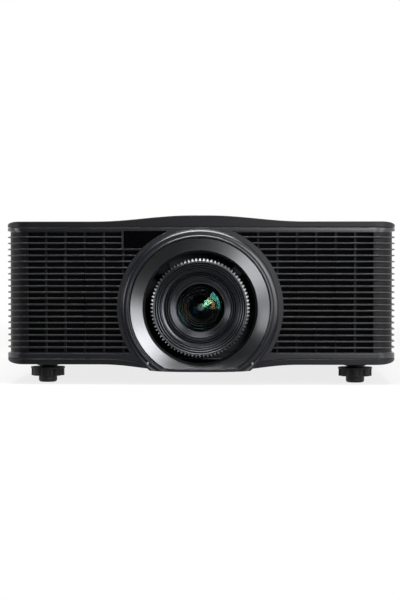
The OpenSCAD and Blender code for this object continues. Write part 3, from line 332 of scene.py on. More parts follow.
def put(bm, name, body, finish, slot, *replaced):
    """Makes a bmesh one piece of the object, riding on a body."""
    bmesh.ops.remove_doubles(bm, verts=bm.verts, dist=WELD)
    bmesh.ops.recalc_face_normals(bm, faces=bm.faces)
    mesh = bpy.data.meshes.new(name)
    bm.to_mesh(mesh)
    bm.free()
    mesh.materials.append(FINISH[finish])
    mesh.shade_smooth()
    mesh.set_sharp_from_angle(angle=CREASE)
    piece = bpy.data.objects.new(name, mesh)
    bpy.context.scene.collection.objects.link(piece)
    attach(piece, body)
    if replaced:
        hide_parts(*replaced)


def outline(bm, points):
    """A closed loop of vertices and edges through points."""
    corners = [bm.verts.new(point) for point in points]
    return corners + [bm.edges.new(pair) for pair in zip(corners, corners[1:] + corners[:1])]


def turn_on_lens(bm, points, steps=144):
    """Turns a closed outline of (radius, depth behind the collar's crest) in millimetres on the lens axis."""
    geom = outline(bm, [(r * MM, lip_y + d * MM, lens_z) for r, d in points])
    bmesh.ops.spin(bm, geom=geom, cent=(0, 0, lens_z), axis=(0, 1, 0), angle=TAU, steps=steps,
                   use_merge=True)
    return bm


def turn_behind(bm, x, z, points, steps=32, angle=TAU):
    """Turns a closed outline of (radius in millimetres, y in metres) about a line towards the back."""
    geom = outline(bm, [(x + r * MM, y, z) for r, y in points])
    bmesh.ops.spin(bm, geom=geom, cent=(x, 0, z), axis=(0, 1, 0), angle=angle, steps=steps,
                   use_merge=angle == TAU)
    return bm


def slab(bm, low, high):
    """A box between two corners in metres."""
    low, high = Vector(low), Vector(high)
    size = Matrix.Diagonal((*(high - low), 1))
    return bmesh.ops.create_cube(bm, size=1, matrix=Matrix.Translation((low + high) / 2) @ size)["verts"]


def pushed(bm, face, step):
    """Extrudes a face by a step and returns the new end face."""
    geom = bmesh.ops.extrude_face_region(bm, geom=[face])["geom"]
    bmesh.ops.translate(bm, vec=step, verts=[g for g in geom if isinstance(g, bmesh.types.BMVert)])
    return next(g for g in geom if isinstance(g, bmesh.types.BMFace))


# Louvres, with the sizes that the solids have, in millimetres

# Ribs: how many, their thickness and depth, the share of the thickness rounded off at the nose, and how far
# they lap into the arch and the sensor's frame
RIBS = 19
RIB_T = 2.0
RIB_D = 6.0
NOSE = 0.46
RIB_LAP = 1.0
# Upright bars behind the ribs, and how far they reach into the ribs
BARS = 7
BAR_W = 2.6
BAR_D = 3.0
BAR_PITCH = 24.0
BAR_LAP = 0.4
# Corner column, beside which the bars start, and its set-back from the front
COLUMN_W = 26.3
COLUMN_SET = 3.5
# Flanges: set-back from the front, how far they reach into the window, and how far past it below and above
FLANGE_SET = 3.25
FLANGE_IN = 1.5
FLANGE_BELOW = 3.6
FLANGE_ABOVE = 1.9
# Radii of the case corner and of the bezel's arch, and the sensor window's edge and rows
CORNER_R = 28.0
ARCH_R = 103.0
SENSOR_X = 95.0
SENSOR_ROWS = 3


def swept(bm, section, start_x, rounded):
    """Sweeps a section of (depth, height) from the front, round the case corner and along the side."""
    corners = [bm.verts.new((start_x, face_y + d * MM, z)) for d, z in section]
    face = bm.faces.new(corners)
    if rounded:
        nose = bmesh.ops.bevel(bm, geom=corners[:2], offset=NOSE * RIB_T * MM, affect="VERTICES",
                               segments=4, profile=0.5, material=-1)
        face = nose["verts"][0].link_faces[0]
    corner_x = half_w - CORNER_R * MM
    face = pushed(bm, face, (corner_x - start_x, 0, 0))
    turn = bmesh.ops.spin(bm, geom=[face], cent=(corner_x, face_y + CORNER_R * MM, 0), axis=(0, 0, 1),
                          angle=TAU / 4, steps=12)
    face = next(g for g in turn["geom_last"] if isinstance(g, bmesh.types.BMFace))
    pushed(bm, face, (0, window_back - face_y - CORNER_R * MM, 0))


def arch_x(height):
    """Half width of the bezel's arch at a height."""
    return math.sqrt(max(0.0, (ARCH_R * MM) ** 2 - (height - lens_z) ** 2))


def louvre(side):
    """Rounded ribs in front of upright bars and the closed corner column, given a darker finish as painted
    shade.
    """
    bm = bmesh.new()
    behind = bmesh.new()
    pitch = (window_high - window_low) / (RIBS + 1)
    half_t = RIB_T / 2 * MM
    sensor_low = window_high - SENSOR_ROWS * pitch + half_t
    for row in range(1, RIBS + 1):
        z = window_low + row * pitch
        start = arch_x(z) - RIB_LAP * MM
        if side < 0 and z + half_t > sensor_low:
            start = max(start, (SENSOR_X + RIB_LAP) * MM)
        section = [(0, z - half_t), (0, z + half_t), (RIB_D, z + half_t), (RIB_D, z - half_t)]
        swept(bm, section, start, True)
    low, high = window_low - FLANGE_BELOW * MM, window_high + FLANGE_ABOVE * MM
    bar_y = face_y + (RIB_D - BAR_LAP) * MM, face_y + (RIB_D + BAR_D) * MM
    for k in range(BARS):
        x = half_w - (COLUMN_W + k * BAR_PITCH) * MM
        gap = arch_x(lens_z + x)
        for bottom, top in ((low, lens_z - gap), (lens_z + gap, high)):
            if top > bottom:
                slab(behind, (x - BAR_W / 2 * MM, bar_y[0], bottom), (x + BAR_W / 2 * MM, bar_y[1], top))
    y = face_y + COLUMN_W * MM
    while y < window_back:
        slab(behind, (half_w - (RIB_D + BAR_D) * MM, y - BAR_W / 2 * MM, low),
             (half_w - (RIB_D - BAR_LAP) * MM, y + BAR_W / 2 * MM, high))
        y += BAR_PITCH * MM
    corner = half_w - CORNER_R * MM, face_y + CORNER_R * MM
    post = outline(behind, [(corner[0], face_y + d * MM, z) for d, z in (
        (COLUMN_SET, low), (RIB_D + BAR_D, low), (RIB_D + BAR_D, high), (COLUMN_SET, high))])
    bmesh.ops.spin(behind, geom=post, cent=(*corner, 0), axis=(0, 0, 1), angle=TAU / 4, steps=16)
    for bottom, top in ((low, window_low + FLANGE_IN * MM), (window_high - FLANGE_IN * MM, high)):
        section = [(FLANGE_SET, bottom), (FLANGE_SET, top), (RIB_D, top), (RIB_D, bottom)]
        swept(bm, section, arch_x(bottom), False)
    if side < 0:
        frame_x = SENSOR_X * MM
        slab(bm, (frame_x, face_y, sensor_low - RIB_T * MM), (frame_x + RIB_T * MM, bar_y[1], window_high))
        slab(bm, (arch_x(sensor_low), face_y, sensor_low - RIB_T * MM), (frame_x, bar_y[0], sensor_low))
        for half in (bm, behind):
            bmesh.ops.scale(half, vec=(-1, 1, 1), verts=half.verts)
    hand = "left" if side < 0 else "right"
    put(bm, "louvre_" + hand, "case", "louvre", "grille_plastic", "grille_" + hand)
    # Painted shade: the bars and the corner column take the darker matt finish, for the shade of their recess
    # behind the ribs
    put(behind, "louvre_bars_" + hand, "case", "dark", "grille_plastic")


for side in (-1, 1):
    louvre(side)


# Lens, in millimetres from the lens axis and behind the collar's crest

# Hood, the barrel behind it, and the back of the hood's rim, just before the focus ring
HOOD_FRONT = 2.0
HOOD_R = 58.3
HOOD_BACK = 40.0
BARREL_R = 56.6
RIM_BACK = 5.7
# Radius, depth and width of each round ring in the hood, and its outline as share of the width and depth
HOOD_RINGS = ((57.6, 2.0, 1.9), (54.8, 4.6, 1.9), (52.0, 7.2, 1.9), (49.3, 9.8, 1.6), (45.6, 14.6, 1.1),
              (43.0, 16.6, 1.1), (40.5, 17.8, 1.3))
RING_SHAPE = (0, 0.5), (0.12, 0.15), (0.3, 0), (0.6, 0.3), (0.85, 0.9), (1, 1.7)
GROOVE = 0.1, 4.4
# Radius and depth of each step of the hood's cone, and its outline inwards
CONE_STEPS = ((37.7, 25.2), (35.6, 26.5), (33.4, 27.9))
STEP_SHAPE = (0, 0), (0.25, -0.1), (1.9, 1.0), (2.0, 1.3)
# Ring that holds the glass, as radius and depth, and the bores round the glass and behind it
RETAINER = [(31.3, 29.2), (31.0, 28.7), (30.4, 28.7), (30.0, 29.2), (29.8, 31.0)]
GLASS_BORE = 29.7
BACK_BORE = 27.0
# Front glass, the flat rim round a hollow back, and the points along a dome
GLASS_R = 29.5
GLASS_EDGE = 34.0
GLASS_BACK = 39.0
GLASS_RIM = 3.0
DOME_POINTS = 24
# Outlines of the cell and of the pale port, as radius and depth
CELL_PROFILE = ((26.8, 40.3), (25.4, 40.8), (25.0, 44.0), (22.4, 44.4), (22.2, 47.0), (20.6, 47.2),
                (20.4, 50.4), (15.4, 50.8), (15.2, 51.4), (11.4, 51.6), (11.2, 52.2), (7.6, 52.4),
                (7.4, 53.0), (0, 53.0), (0, 59.0), (49.4, 59.0), (49.4, 40.3))
PORT_PROFILE = ((0, 52.0), (0.5, 51.9), (0.8, 51.4), (1.8, 51.2), (2.3, 51.6), (2.5, 51.9), (3.4, 52.0),
                (3.8, 52.3), (4.8, 52.5), (5.4, 53.3), (0, 53.3))
# Focus ring, with the width of a tooth's root and tip as shares of the tooth pitch
TEETH = 80
TEETH_FRONT = 6.0
TEETH_BACK = 30.0
CHAMFER = 2.2
RING_BORE = 56.9
ROOT_R = 58.4
TIP_R = 61.4
ROOT_SHARE = 0.62
TIP_SHARE = 0.22


def hood():
    """Stepped hood: broad round rings with narrow dark grooves, two fine rings and a lip behind a dark step,
    and a cone in shallow steps down to the retaining ring of the glass."""
    profile = []
    for r, d, wide in HOOD_RINGS:
        profile += [(r - share * wide, d + sink) for share, sink in RING_SHAPE]
        profile.append((r - wide - GROOVE[0], d + GROOVE[1]))
    for r, d in CONE_STEPS:
        profile += [(r - inward, d + sink) for inward, sink in STEP_SHAPE]
    profile += RETAINER + [(GLASS_BORE, GLASS_BACK), (BACK_BORE, GLASS_BACK), (BACK_BORE, HOOD_BACK)]
    profile += [(BARREL_R, HOOD_BACK), (BARREL_R, RIM_BACK), (HOOD_R, RIM_BACK), (HOOD_R, HOOD_FRONT + 0.6),
                (HOOD_R - 0.3, HOOD_FRONT + 0.2)]
    put(turn_on_lens(bmesh.new(), profile), "hood_rings", "lens", "hood", "lens_black", "lens_hood")


def dome(radius, edge, sag):
    """Points of a ball's cap from the axis to its rim at the edge's depth. Its middle stands out by sag."""
    ball = (radius ** 2 + sag ** 2) / (2 * sag)
    radii = [radius * k / DOME_POINTS for k in range(DOME_POINTS + 1)]
    return [(r, edge - sag + ball - math.sqrt(ball ** 2 - r ** 2)) for r in radii]


def glass(name, finish, *replaced, radius, edge, sag, back, hollow):
    """A glass with a domed front, and a back that is flat or hollowed within a flat rim."""
    inside = dome(radius - GLASS_RIM, back, hollow)[::-1] if hollow else [(0, back)]
    put(turn_on_lens(bmesh.new(), dome(radius, edge, sag) + [(radius, back)] + inside), name, "lens", finish,
        "lens_glass", *replaced)


def lens_cell():
    """Blackened cell behind the front glass, stepping in to the smaller glass, which is cemented into it."""
    put(turn_on_lens(bmesh.new(), CELL_PROFILE), "lens_cell", "lens", "cell", "lens_black")


def inner_prism():
    """Stepped end of the light path, deep in the lens, with its pale middle painted as a reflection."""
    put(turn_on_lens(bmesh.new(), PORT_PROFILE, 48), "inner_prism", "lens", "port", "lens_glass")


def toothed_ring():
    """Focus ring whose teeth are chamfered at the front, where they catch the light."""
    bm = bmesh.new()
    half = TAU / TEETH / 2

    def corner(radius, share):
        turn = share * half
        return bm.verts.new((radius * MM * math.sin(turn), lip_y + TEETH_FRONT * MM,
                             lens_z + radius * MM * math.cos(turn)))

    bore, root, tip = ([corner(r, share) for share in shares] for r, shares in (
        (RING_BORE, (-1, 1)), (ROOT_R, (-1, -ROOT_SHARE, ROOT_SHARE, 1)), (TIP_R, (-TIP_SHARE, TIP_SHARE))))
    sector = [bm.faces.new([bore[0], *root, bore[1]]), bm.faces.new([root[1], *tip, root[2]])]
    back = bmesh.ops.extrude_face_region(bm, geom=sector, use_keep_orig=True)["geom"]
    bmesh.ops.translate(bm, vec=(0, (TEETH_BACK - TEETH_FRONT) * MM, 0),
                        verts=[g for g in back if isinstance(g, bmesh.types.BMVert)])
    bmesh.ops.translate(bm, vec=(0, CHAMFER * MM, 0), verts=tip)
    cuts = [f for f in bm.faces
            if all(abs(abs(math.atan2(v.co.x, v.co.z - lens_z)) - half) < 1e-5 for v in f.verts)]
    bmesh.ops.delete(bm, geom=cuts, context="FACES_ONLY")
    bmesh.ops.spin(bm, geom=[*bm.verts, *bm.edges, *bm.faces], cent=(0, 0, lens_z), axis=(0, 1, 0),
                   angle=TAU, steps=TEETH, use_duplicate=True)
    put(bm, "focus_teeth", "focus_ring", "ring", "gear_white", "focus_ring")


hood()
glass("front_glass", "glass", "front_element", radius=GLASS_R, edge=GLASS_EDGE, sag=7.6, back=GLASS_BACK,
      hollow=9.0)
lens_cell()
glass("second_glass", "glass_blue", radius=15.2, edge=50.6, sag=6.1, back=53.4, hollow=0)
inner_prism()
toothed_ring()


# Collar pins

def collar_pins():
    """Bright pins beside the foot of the collar, with round heads."""
    low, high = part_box("bezel_pins")
    r = (high.z - low.z) / 2
    bm = bmesh.new()
    for x in (low.x + r, high.x - r):
        turns = [k * TAU / 24 for k in range(7)]
        arc = [(r * math.sin(turn) / MM, low.y + r - r * math.cos(turn)) for turn in turns]
        turn_behind(bm, x, low.z + r, arc + [(r / MM, high.y), (0, high.y)], 24)
    put(bm, "collar_pins", "case", "steel", "pin_steel", "bezel_pins")


collar_pins()


# Feet, in millimetres

# Radii of the stem's core, thread and pin, the height where the thread starts, and its pitch
STEM_CORE = 11.2
STEM_R = 12.3
STEM_PIN = 6.0
STEM_FOOT = 19.5
THREAD_PITCH = 4.0
STEM_STEPS = 32


def threaded_stem(corner):
    """Moulded stem with a coarse rounded thread above its plain pin."""
    low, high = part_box("foot_stem_" + corner)
    x, y = (low.x + high.x) / 2, (low.y + high.y) / 2
    bm = bmesh.new()
    profile = [(0, low.z), (STEM_PIN, low.z), (STEM_PIN, STEM_FOOT * MM), (STEM_CORE, STEM_FOOT * MM),
               (STEM_CORE, high.z - MM), (STEM_CORE - 1, high.z), (0, high.z)]
    core = outline(bm, [(x + r * MM, y, z) for r, z in profile])
    bmesh.ops.spin(bm, geom=core, cent=(x, y, 0), axis=(0, 0, 1), angle=TAU, steps=STEM_STEPS,
                   use_merge=True)
    ridge = bm.faces.new([bm.verts.new((x + r * MM, y, (STEM_FOOT + z) * MM)) for r, z in (
        (STEM_CORE - 0.2, 0.2), (STEM_R - 0.3, 1.2), (STEM_R, 1.6), (STEM_R - 0.3, 2.0),
        (STEM_CORE - 0.2, 3.0))])
    turns = int((high.z / MM - STEM_FOOT - THREAD_PITCH) / THREAD_PITCH)
    bmesh.ops.spin(bm, geom=[ridge], cent=(x, y, 0), axis=(0, 0, 1), angle=TAU * turns,
                   dvec=(0, 0, THREAD_PITCH * MM / STEM_STEPS), steps=STEM_STEPS * turns)
    put(bm, "threaded_stem_" + corner, "foot_stem_" + corner, "knob", "foot_plastic", "foot_stem_" + corner)


for corner in ("fl", "fr", "rl", "rr"):
    threaded_stem(corner)


# Keys at the back, in millimetres from each key's rim

KEY_PROFILE = ((0, -0.4), (2.6, -0.3), (4.3, -0.05), (4.8, 0), (5.2, -0.15), (5.5, -0.6), (5.5, -5.3),
               (7.5, -5.3), (7.5, -7.3), (0, -7.3))
# Depths of the print's two faces, the width of its strokes, and the size of its marks
INK = -0.7, -0.1
INK_W = 0.6
ARROW_R = 2.1
CIRCLE_R = 2.2
POWER_R = 2.3
LINE_W = 4.0
LINE_PITCH = 1.4


def key(name, mark):
    """A dished key with a rounded rim on its flange, and the mark printed on it."""
    low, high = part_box(name + "_button")
    x, y, z = (low.x + high.x) / 2, high.y, (low.z + high.z) / 2
    put(turn_behind(bmesh.new(), x, z, [(r, y + d * MM) for r, d in KEY_PROFILE]), name + "_key",
        name + "_button", "key", "button_plastic", name + "_button")
    bm = bmesh.new()
    mark(bm, x, y, z)
    put(bm, name + "_mark", name + "_button", "legend", "button_plastic")


def mark_bar(bm, x, y, z, wide, tall):
    """A thin printed bar."""
    slab(bm, (x - wide / 2 * MM, y + INK[0] * MM, z - tall / 2 * MM),
         (x + wide / 2 * MM, y + INK[1] * MM, z + tall / 2 * MM))


def mark_ring(bm, x, y, z, radius, angle=TAU):
    """A thin printed ring, or an arc of one."""
    inner = radius - INK_W
    turn_behind(bm, x, z, [(r, y + d * MM) for r, d in (
        (radius, INK[0]), (radius, INK[1]), (inner, INK[1]), (inner, INK[0]))], 28, angle)


def arrow(turn):
    """A printed triangle that points up before it is turned."""
    def mark(bm, x, y, z):
        place = Matrix.Translation((x, y + sum(INK) / 2 * MM, z)) @ Matrix.Rotation(turn, 4, "Y")
        place = place @ Matrix.Rotation(-TAU / 4, 4, "X") @ Matrix.Rotation(TAU / 2, 4, "Z")
        bmesh.ops.create_cone(bm, cap_ends=True, segments=3, radius1=ARROW_R * MM, radius2=ARROW_R * MM,
                              depth=(INK[1] - INK[0]) * MM, matrix=place)
    return mark


def circle_mark(bm, x, y, z):
    """A ring for the enter key."""
    mark_ring(bm, x, y, z, CIRCLE_R)


def lines_mark(bm, x, y, z):
    """Three lines for the menu key."""
    for row in (-1, 0, 1):
        mark_bar(bm, x, y, z + row * LINE_PITCH * MM, LINE_W, INK_W)


def power_mark(bm, x, y, z):
    """A ring open at the top, with a bar in the gap."""
    mark_ring(bm, 0, y, 0, POWER_R, TAU * 0.8)
    bmesh.ops.rotate(bm, verts=bm.verts, cent=(0, 0, 0), matrix=Matrix.Rotation(-TAU * 0.15, 3, "Y"))
    bmesh.ops.translate(bm, verts=bm.verts, vec=(x, 0, z))
    mark_bar(bm, x, y, z + 1.7 * MM, INK_W, 2.2)


key("up", arrow(0))
key("right", arrow(TAU / 4))
key("down", arrow(TAU / 2))
key("left", arrow(-TAU / 4))
key("enter", circle_mark)
key("menu", lines_mark)
key("power", power_mark)


# Connectors at the back, in millimetres as the solids have them

# Middle height of the connectors, and the places of the flat picture ports, the network socket and the
# round ports
PORT_Z = 79.5
PICTURE_X = -92.0
LAN_X = 1.0
LAN_PITCH = 1.1
ROUND_X = -24.0
ROUND_PITCH = 16.0
# D-shaped connectors: places, width of the shell, half the height and the slant of the insulator, its depth
# from the plate, then the contacts' pitch, row pitch and shift from row to row
D_PORT_AT = ((-58.0, 64.5), (-58.0, 94.5), (38.0, 65.5))
D_PORT_W = 17.0
D_HALF_TALL = 3.3
D_SLANT = 1.3
D_FACE = 5.4
CONTACT_PITCH = 2.3
CONTACT_ROW = 2.0
CONTACT_SHIFT = 0.5
# Sound jacks: first place, pitch, height over the middle, and the collar's outline as radius and depth
JACK_X = 26.0
JACK_PITCH = 12.0
JACK_RISE = 14.0
JACK_PROFILE = ((1.9, 3.6), (1.9, 4.2), (2.2, 4.5), (3.7, 4.5), (4.0, 4.2), (4.0, 3.6))
# Mains inlet, and the ends of its blades from the plate
INLET_X = -160.0
BLADE_END = 10.3
# Rocker: its axle from the plate, its tilt at rest in degrees, the middle of its face from the axle, the
# slope of its halves, the depths of the print's two faces, and the marks' distance from the middle
ROCKER_X = -126.0
ROCKER_AXLE = 5.0
ROCKER_TILT = 10.0
ROCKER_FACE = 1.6
ROCKER_SLOPE = math.atan2(1.4, 8.5)
ROCKER_INK = -0.3, 0.12
ROCKER_MARK = 5.0
# Plate screws between the two at the plate's ends, and how far those are from its edges
SCREW_X = -105.0, -40.0, 20.0
SCREW_EDGE = 6.0, 5.0


def pin_post(bm, x, z, radius, start, end, steps=12):
    """A round pin that stands out of the plate, rounded at its end."""
    profile = [(0, start), (radius, start), (radius, end - 0.3 * radius), (0.7 * radius, end), (0, end)]
    turn_behind(bm, x * MM, z * MM, [(r, plate_y + y * MM) for r, y in profile], steps)


def block(bm, x, z, wide, tall, start, end):
    """A block centred on x and z, between two depths from the plate. Returns its vertices."""
    return slab(bm, ((x - wide / 2) * MM, plate_y + start * MM, (z - tall / 2) * MM),
                ((x + wide / 2) * MM, plate_y + end * MM, (z + tall / 2) * MM))


def d_port_faces():
    """Insulators of the D-shaped connectors, and the gold rims of their fifteen contacts."""
    black, gold = bmesh.new(), bmesh.new()
    for x, z in D_PORT_AT:
        half = D_PORT_W / 2 - 1.0
        loop = [black.verts.new(((x + dx) * MM, plate_y + D_FACE * MM, (z + dz) * MM)) for dx, dz in (
            (-half, D_HALF_TALL), (half, D_HALF_TALL), (half - D_SLANT, -D_HALF_TALL),
            (D_SLANT - half, -D_HALF_TALL))]
        pushed(black, black.faces.new(loop), (0, 0.25 * MM, 0))
        for row in (-1, 0, 1):
            for k in range(-2, 3):
                across = x + CONTACT_PITCH * k + CONTACT_SHIFT * row
                pin_post(gold, across, z + CONTACT_ROW * row, 0.55, D_FACE, D_FACE + 0.35, 8)
    put(black, "d_port_faces", "case", "dark", "dark_plastic")
    put(gold, "d_port_contacts", "case", "gold", "brass")


def round_port_pins():
    """Insulators and pins of the three round picture connectors."""
    black, gold = bmesh.new(), bmesh.new()
    for row in (-1, 0, 1):
        z = PORT_Z + row * ROUND_PITCH
        pin_post(black, ROUND_X, z, 3.7, 9.6, 10.1, 24)
        pin_post(gold, ROUND_X, z, 0.9, 9.9, 10.6)
    put(black, "round_port_faces", "case", "dark", "dark_plastic")
    put(gold, "round_port_pins", "case", "gold", "brass")


def port_tongues():
    """Black tongues in the flat ports, and the gold strips of the network socket."""
    black, gold = bmesh.new(), bmesh.new()
    for x, z, wide, tall in ((PICTURE_X, PORT_Z - 14.9, 10.4, 1.6), (PICTURE_X, PORT_Z + 15.1, 10.4, 1.6),
                             (LAN_X, PORT_Z + 15.0, 11.4, 2.4)):
        block(black, x, z, wide, tall, 1.2, 5.3)
    for k in range(8):
        block(gold, LAN_X + (k - 3.5) * LAN_PITCH, PORT_Z - 10.9, 0.5, 0.6, 2.0, 9.0)
    put(black, "port_tongues", "case", "dark", "dark_plastic")
    put(gold, "network_contacts", "case", "gold", "brass")


def jack_rings():
    """Coloured collars of the three sound jacks."""
    for k, finish in enumerate(("blue_jack", "green_jack", "pink_jack")):
        x, z = (JACK_X + JACK_PITCH * k) * MM, (PORT_Z + JACK_RISE) * MM
        bm = turn_behind(bmesh.new(), x, z, [(r, plate_y + y * MM) for r, y in JACK_PROFILE])
        put(bm, "sound_" + finish, "case", finish, "dark_plastic")


def inlet_blades():
    """Plated blades of the mains inlet."""
    bm = bmesh.new()
    for dx, dz in ((-7, 0), (7, 0), (0, 4)):
        blade = block(bm, INLET_X + dx, PORT_Z + dz + 1, 2.2, 4.2, 1.6, BLADE_END)
        tip = [e for e in {e for v in blade for e in v.link_edges}
               if all(v.co.y > plate_y + (BLADE_END - 0.3) * MM for v in e.verts)]
        bmesh.ops.bevel(bm, geom=tip, offset=0.4 * MM, affect="EDGES", segments=2, profile=0.5, material=-1)
    put(bm, "inlet_blades", "case", "shell", "port_metal")


def rocker_marks():
    """A bar and a ring printed on the two halves of the rocker."""
    bm = bmesh.new()
    axle = Matrix.Translation((ROCKER_X * MM, plate_y + ROCKER_AXLE * MM, PORT_Z * MM))
    tilt = Matrix.Rotation(math.radians(ROCKER_TILT), 4, "X")
    face = axle @ tilt @ Matrix.Translation((0, ROCKER_FACE * MM, 0))
    back, front = (d * MM for d in ROCKER_INK)
    bar = slab(bm, (-0.4 * MM, back, -1.7 * MM), (0.4 * MM, front, 1.7 * MM))
    turn_behind(bm, 0, 0, [(1.8, back), (1.8, front), (1.1, front), (1.1, back)])
    ring = [v for v in bm.verts if v not in bar]
    for half, mark in ((1, bar), (-1, ring)):
        slope = Matrix.Rotation(-half * ROCKER_SLOPE, 4, "X")
        place = face @ slope @ Matrix.Translation((0, 0, half * ROCKER_MARK * MM))
        bmesh.ops.transform(bm, matrix=place, verts=mark)
    put(bm, "rocker_marks", "power_rocker", "legend", "button_plastic")


def plate_screws():
    """Pan-head screws that hold the connector plate, with their cross slots."""
    heads, slots = bmesh.new(), bmesh.new()
    low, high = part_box("io_plate")
    for x in (low.x / MM + SCREW_EDGE[0], *SCREW_X, high.x / MM - SCREW_EDGE[0]):
        for z in (low.z / MM + SCREW_EDGE[1], high.z / MM - SCREW_EDGE[1]):
            pin_post(heads, x, z, 2.6, -0.2, 1.7, 20)
            for wide, tall in ((2.6, 0.5), (0.5, 2.6)):
                block(slots, x, z, wide, tall, 1.0, 1.75)
    put(heads, "plate_screws", "case", "steel", "pin_steel")
    put(slots, "plate_screw_slots", "case", "dark", "dark_plastic")


d_port_faces()
round_port_pins()
port_tongues()
jack_rings()
inlet_blades()
rocker_marks()
plate_screws()


# Finishes of the solids

dress("cover", "top_cover bottom_cover")
dress("bezel", "front_bezel side_panel_left side_panel_right rear_panel")
dress("trim", "trim_ring")
dress("dark", "opening_ring mains_inlet power_rocker fan_frames fan_rotor_left fan_rotor_right")
dress("dark", "focus_pinion zoom_pinion zoom_ring lens_motors")
dress("window", "sensor_window")
dress("steel", "bezel_pins cover_screws guide_rods")
dress("hood", "lens_barrel lens_hood")
dress("glass_blue", "inner_elements front_element")
dress("ring", "focus_ring")
dress("brass", "lift_screw")
dress("can", "lift_motor wheel_motor")
dress("cast", "lens_mount shift_base optical_engine laser_heatsink light_source")
dress("sheet", "deck_plate power_supply")
dress("plate", "io_plate")
dress("disc", "phosphor_wheel")
dress("board", "main_board keypad_board")
dress("foam", "dust_filters")
dress("shell", "video_ports data_ports")
dress("key", "power_button menu_button up_button down_button left_button right_button enter_button")
dress("louvre", "grille_left grille_right")
dress("knob", "foot_stem_fl foot_stem_fr foot_stem_rl foot_stem_rr")
dress("knob", "foot_knob_fl foot_knob_fr foot_knob_rl foot_knob_rr")


# Studio, in metres

# Paper floor, just under the feet, the distances between which its shadow fades to white, and its share of
# plain white near the object
FLOOR_R = 6.0
FLOOR_Z = -0.0002
FADE_FROM = 0.7
FADE_TO = 2.0
NEAR_WHITE = 0.8
# Colour of the background, and the strength of the even light from all round
WHITE = "#ffffff"
FILL = 0.35
# Camera: how far in front of the case, and its place sideways and upright
CAMERA_AWAY = 2.1
CAMERA_X = 0.065
CAMERA_Z = 0.155
# Pixels across the picture, and across the object in it
PICTURE_W = 400
OBJECT_W = 392


def seen(tree):
    """1 for the rays that show the background: straight to the camera, mirrored, or through glass."""
    path = add(tree, "ShaderNodeLightPath").outputs
    first = add(tree, "ShaderNodeMath", {0: path["Is Camera Ray"], 1: path["Is Glossy Ray"]},
                operation="MAXIMUM").outputs[0]
    return add(tree, "ShaderNodeMath", {0: first, 1: path["Is Transmission Ray"]},
               operation="MAXIMUM").outputs[0]


def paper_sweep():
    """Matt white paper: keeps the shadow near the object and fades to plain white further out."""
    material, tree, place = open_finish("paper_sweep_white")
    fibre = add(tree, "ShaderNodeTexNoise", {"Vector": place, "Scale": per_mm(4), "Detail": 3.0})
    shade = add(tree, "ShaderNodeMix", {"Factor": fibre.outputs["Fac"], 6: linear("#eeeeec"),
                                        7: linear("#f4f4f2")}, data_type="RGBA")
    paper = add(tree, "ShaderNodeBsdfDiffuse", {"Color": shade.outputs[2]}).outputs[0]
    away = add(tree, "ShaderNodeVectorMath", {0: place}, operation="LENGTH").outputs["Value"]
    fade = add(tree, "ShaderNodeMapRange", {"Value": away, "From Min": FADE_FROM, "From Max": FADE_TO,
                                            "To Min": NEAR_WHITE, "To Max": 1.0}).outputs["Result"]
    share = add(tree, "ShaderNodeMath", {0: fade, 1: seen(tree)}, operation="MULTIPLY").outputs[0]
    glow = add(tree, "ShaderNodeEmission", {"Color": linear(WHITE), "Strength": 1.0}).outputs[0]
    mixed = add(tree, "ShaderNodeMixShader", {0: share, 1: paper, 2: glow}).outputs[0]
    add(tree, "ShaderNodeOutputMaterial", {"Surface": mixed})
    return material


def velvet():
    """Black velvet: swallows nearly all light."""
    material, tree, place = open_finish("velvet_black")
    pile = add(tree, "ShaderNodeTexNoise", {"Vector": place, "Scale": per_mm(2)}).outputs["Fac"]
    shade = add(tree, "ShaderNodeMix", {"Factor": pile, 6: linear("#020202"), 7: linear("#060606")},
                data_type="RGBA")
    close_finish(tree, {"Base Color": shade.outputs[2], "Roughness": 1.0, "Specular IOR Level": 0.0})
    return material


def stage_piece(bm, name, material):
    """Makes a bmesh a piece of the studio."""
    mesh = bpy.data.meshes.new(name)
    bm.to_mesh(mesh)
    bm.free()
    mesh.materials.append(material)
    piece = bpy.data.objects.new(name, mesh)
    bpy.context.scene.collection.objects.link(piece)
    piece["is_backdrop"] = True
    return piece


def studio_floor():
    """A round sheet of paper just under the feet."""
    bm = bmesh.new()
    bmesh.ops.create_circle(bm, cap_ends=True, radius=FLOOR_R, segments=64,
                            matrix=Matrix.Translation((0, 0, FLOOR_Z)))
    stage_piece(bm, "studio_floor", paper_sweep())


def aimed(place, aim):
    """The turn that points a lamp, card or camera from its place at its aim."""
    return (Vector(aim) - Vector(place)).to_track_quat("-Z", "Y")


def black_card(name, place, aim, wide, tall):
    """A velvet card beside the lamps. It shows only as a dark reflection, and shades nothing."""
    bm = bmesh.new()
    size = Matrix.Diagonal((wide, tall, 1, 1))
    turn = aimed(place, aim).to_matrix().to_4x4()
    bmesh.ops.create_grid(bm, x_segments=1, y_segments=1, size=0.5,
                          matrix=Matrix.Translation(place) @ turn @ size)
    card = stage_piece(bm, name, VELVET)
    card.visible_camera = card.visible_diffuse = card.visible_shadow = False


def softbox(name, place, aim, size, energy, roll=0):
    """A rectangular area lamp in watts, rolled about its aim in degrees."""
    lamp = bpy.data.lights.new(name, "AREA")
    lamp.shape = "RECTANGLE"
    lamp.size, lamp.size_y = size
    lamp.energy = energy
    box = bpy.data.objects.new(name, lamp)
    bpy.context.scene.collection.objects.link(box)
    box.location = place
    box.rotation_euler = (aimed(place, aim) @ Quaternion((0, 0, 1), math.radians(roll))).to_euler()


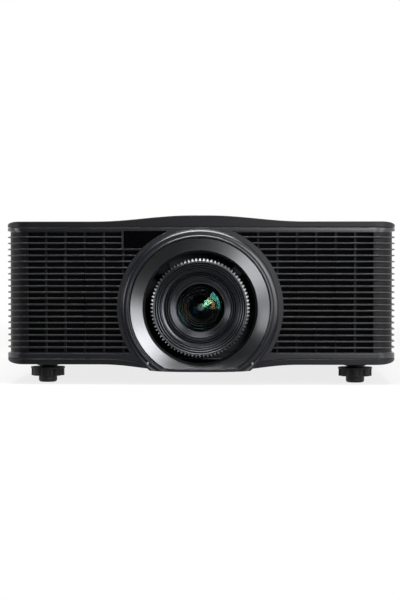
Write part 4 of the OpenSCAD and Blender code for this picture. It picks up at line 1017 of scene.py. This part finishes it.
def studio_world():
    """Soft grey fill, with a plain white background for the rays that show it."""
    world = bpy.data.worlds.new("studio")
    bpy.context.scene.world = world
    world.use_nodes = True
    tree = world.node_tree
    tree.nodes.clear()
    fill = add(tree, "ShaderNodeBackground", {"Color": linear(WHITE), "Strength": FILL}).outputs[0]
    plain = add(tree, "ShaderNodeBackground", {"Color": linear(WHITE), "Strength": 1.0}).outputs[0]
    mixed = add(tree, "ShaderNodeMixShader", {0: seen(tree), 1: fill, 2: plain}).outputs[0]
    add(tree, "ShaderNodeOutputWorld", {"Surface": mixed})


def studio_camera():
    """Nearly head-on, a little above the middle and to the right, as the photograph was taken."""
    view = bpy.data.cameras.new("camera")
    view.sensor_fit = "HORIZONTAL"
    view.sensor_width = 36.0
    view.lens = view.sensor_width * CAMERA_AWAY / (2 * half_w * PICTURE_W / OBJECT_W)
    camera = bpy.data.objects.new("camera", view)
    bpy.context.scene.collection.objects.link(camera)
    camera.location = (CAMERA_X, face_y - CAMERA_AWAY, CAMERA_Z)
    camera.rotation_euler = aimed(camera.location, (0, face_y, cad_high.z / 2)).to_euler()
    bpy.context.scene.camera = camera


VELVET = velvet()
studio_floor()
lens_at = (0, face_y, lens_z)
softbox("softbox_right", (1.5, -1.5, 0.36), lens_at, size=(0.8, 1.0), energy=6.5)
softbox("softbox_key", (1.15, -1.95, 0.98), lens_at, size=(0.6, 0.8), energy=8, roll=38)
softbox("softbox_near", (0.62, -2.35, 0.52), lens_at, size=(0.55, 0.55), energy=10, roll=34)
softbox("softbox_left", (-1.9, -0.85, 0.4), lens_at, size=(0.7, 0.6), energy=5)
softbox("softbox_brow", (-0.05, -0.68, 1.42), lens_at, size=(0.9, 0.22), energy=3.5)
softbox("softbox_top", (-0.05, -0.25, 1.4), (-0.05, -0.25, 0), size=(1.3, 0.24), energy=20)
black_card("card_front", (0, -3.4, 0.9), lens_at, wide=5.0, tall=3.4)
black_card("card_low", (-1.0, -1.83, 0.004), (-1.0, -1.83, 1), wide=3.0, tall=3.14)
black_card("card_left", (-2.4, -1.7, 1.2), (0, -1.7, 1.2), wide=3.4, tall=2.6)
black_card("card_top", (0, -2.1, 2.5), (0, -2.1, 0), wide=4.8, tall=2.6)
studio_world()
studio_camera()
bpy.context.scene.view_settings.view_transform = "Standard"
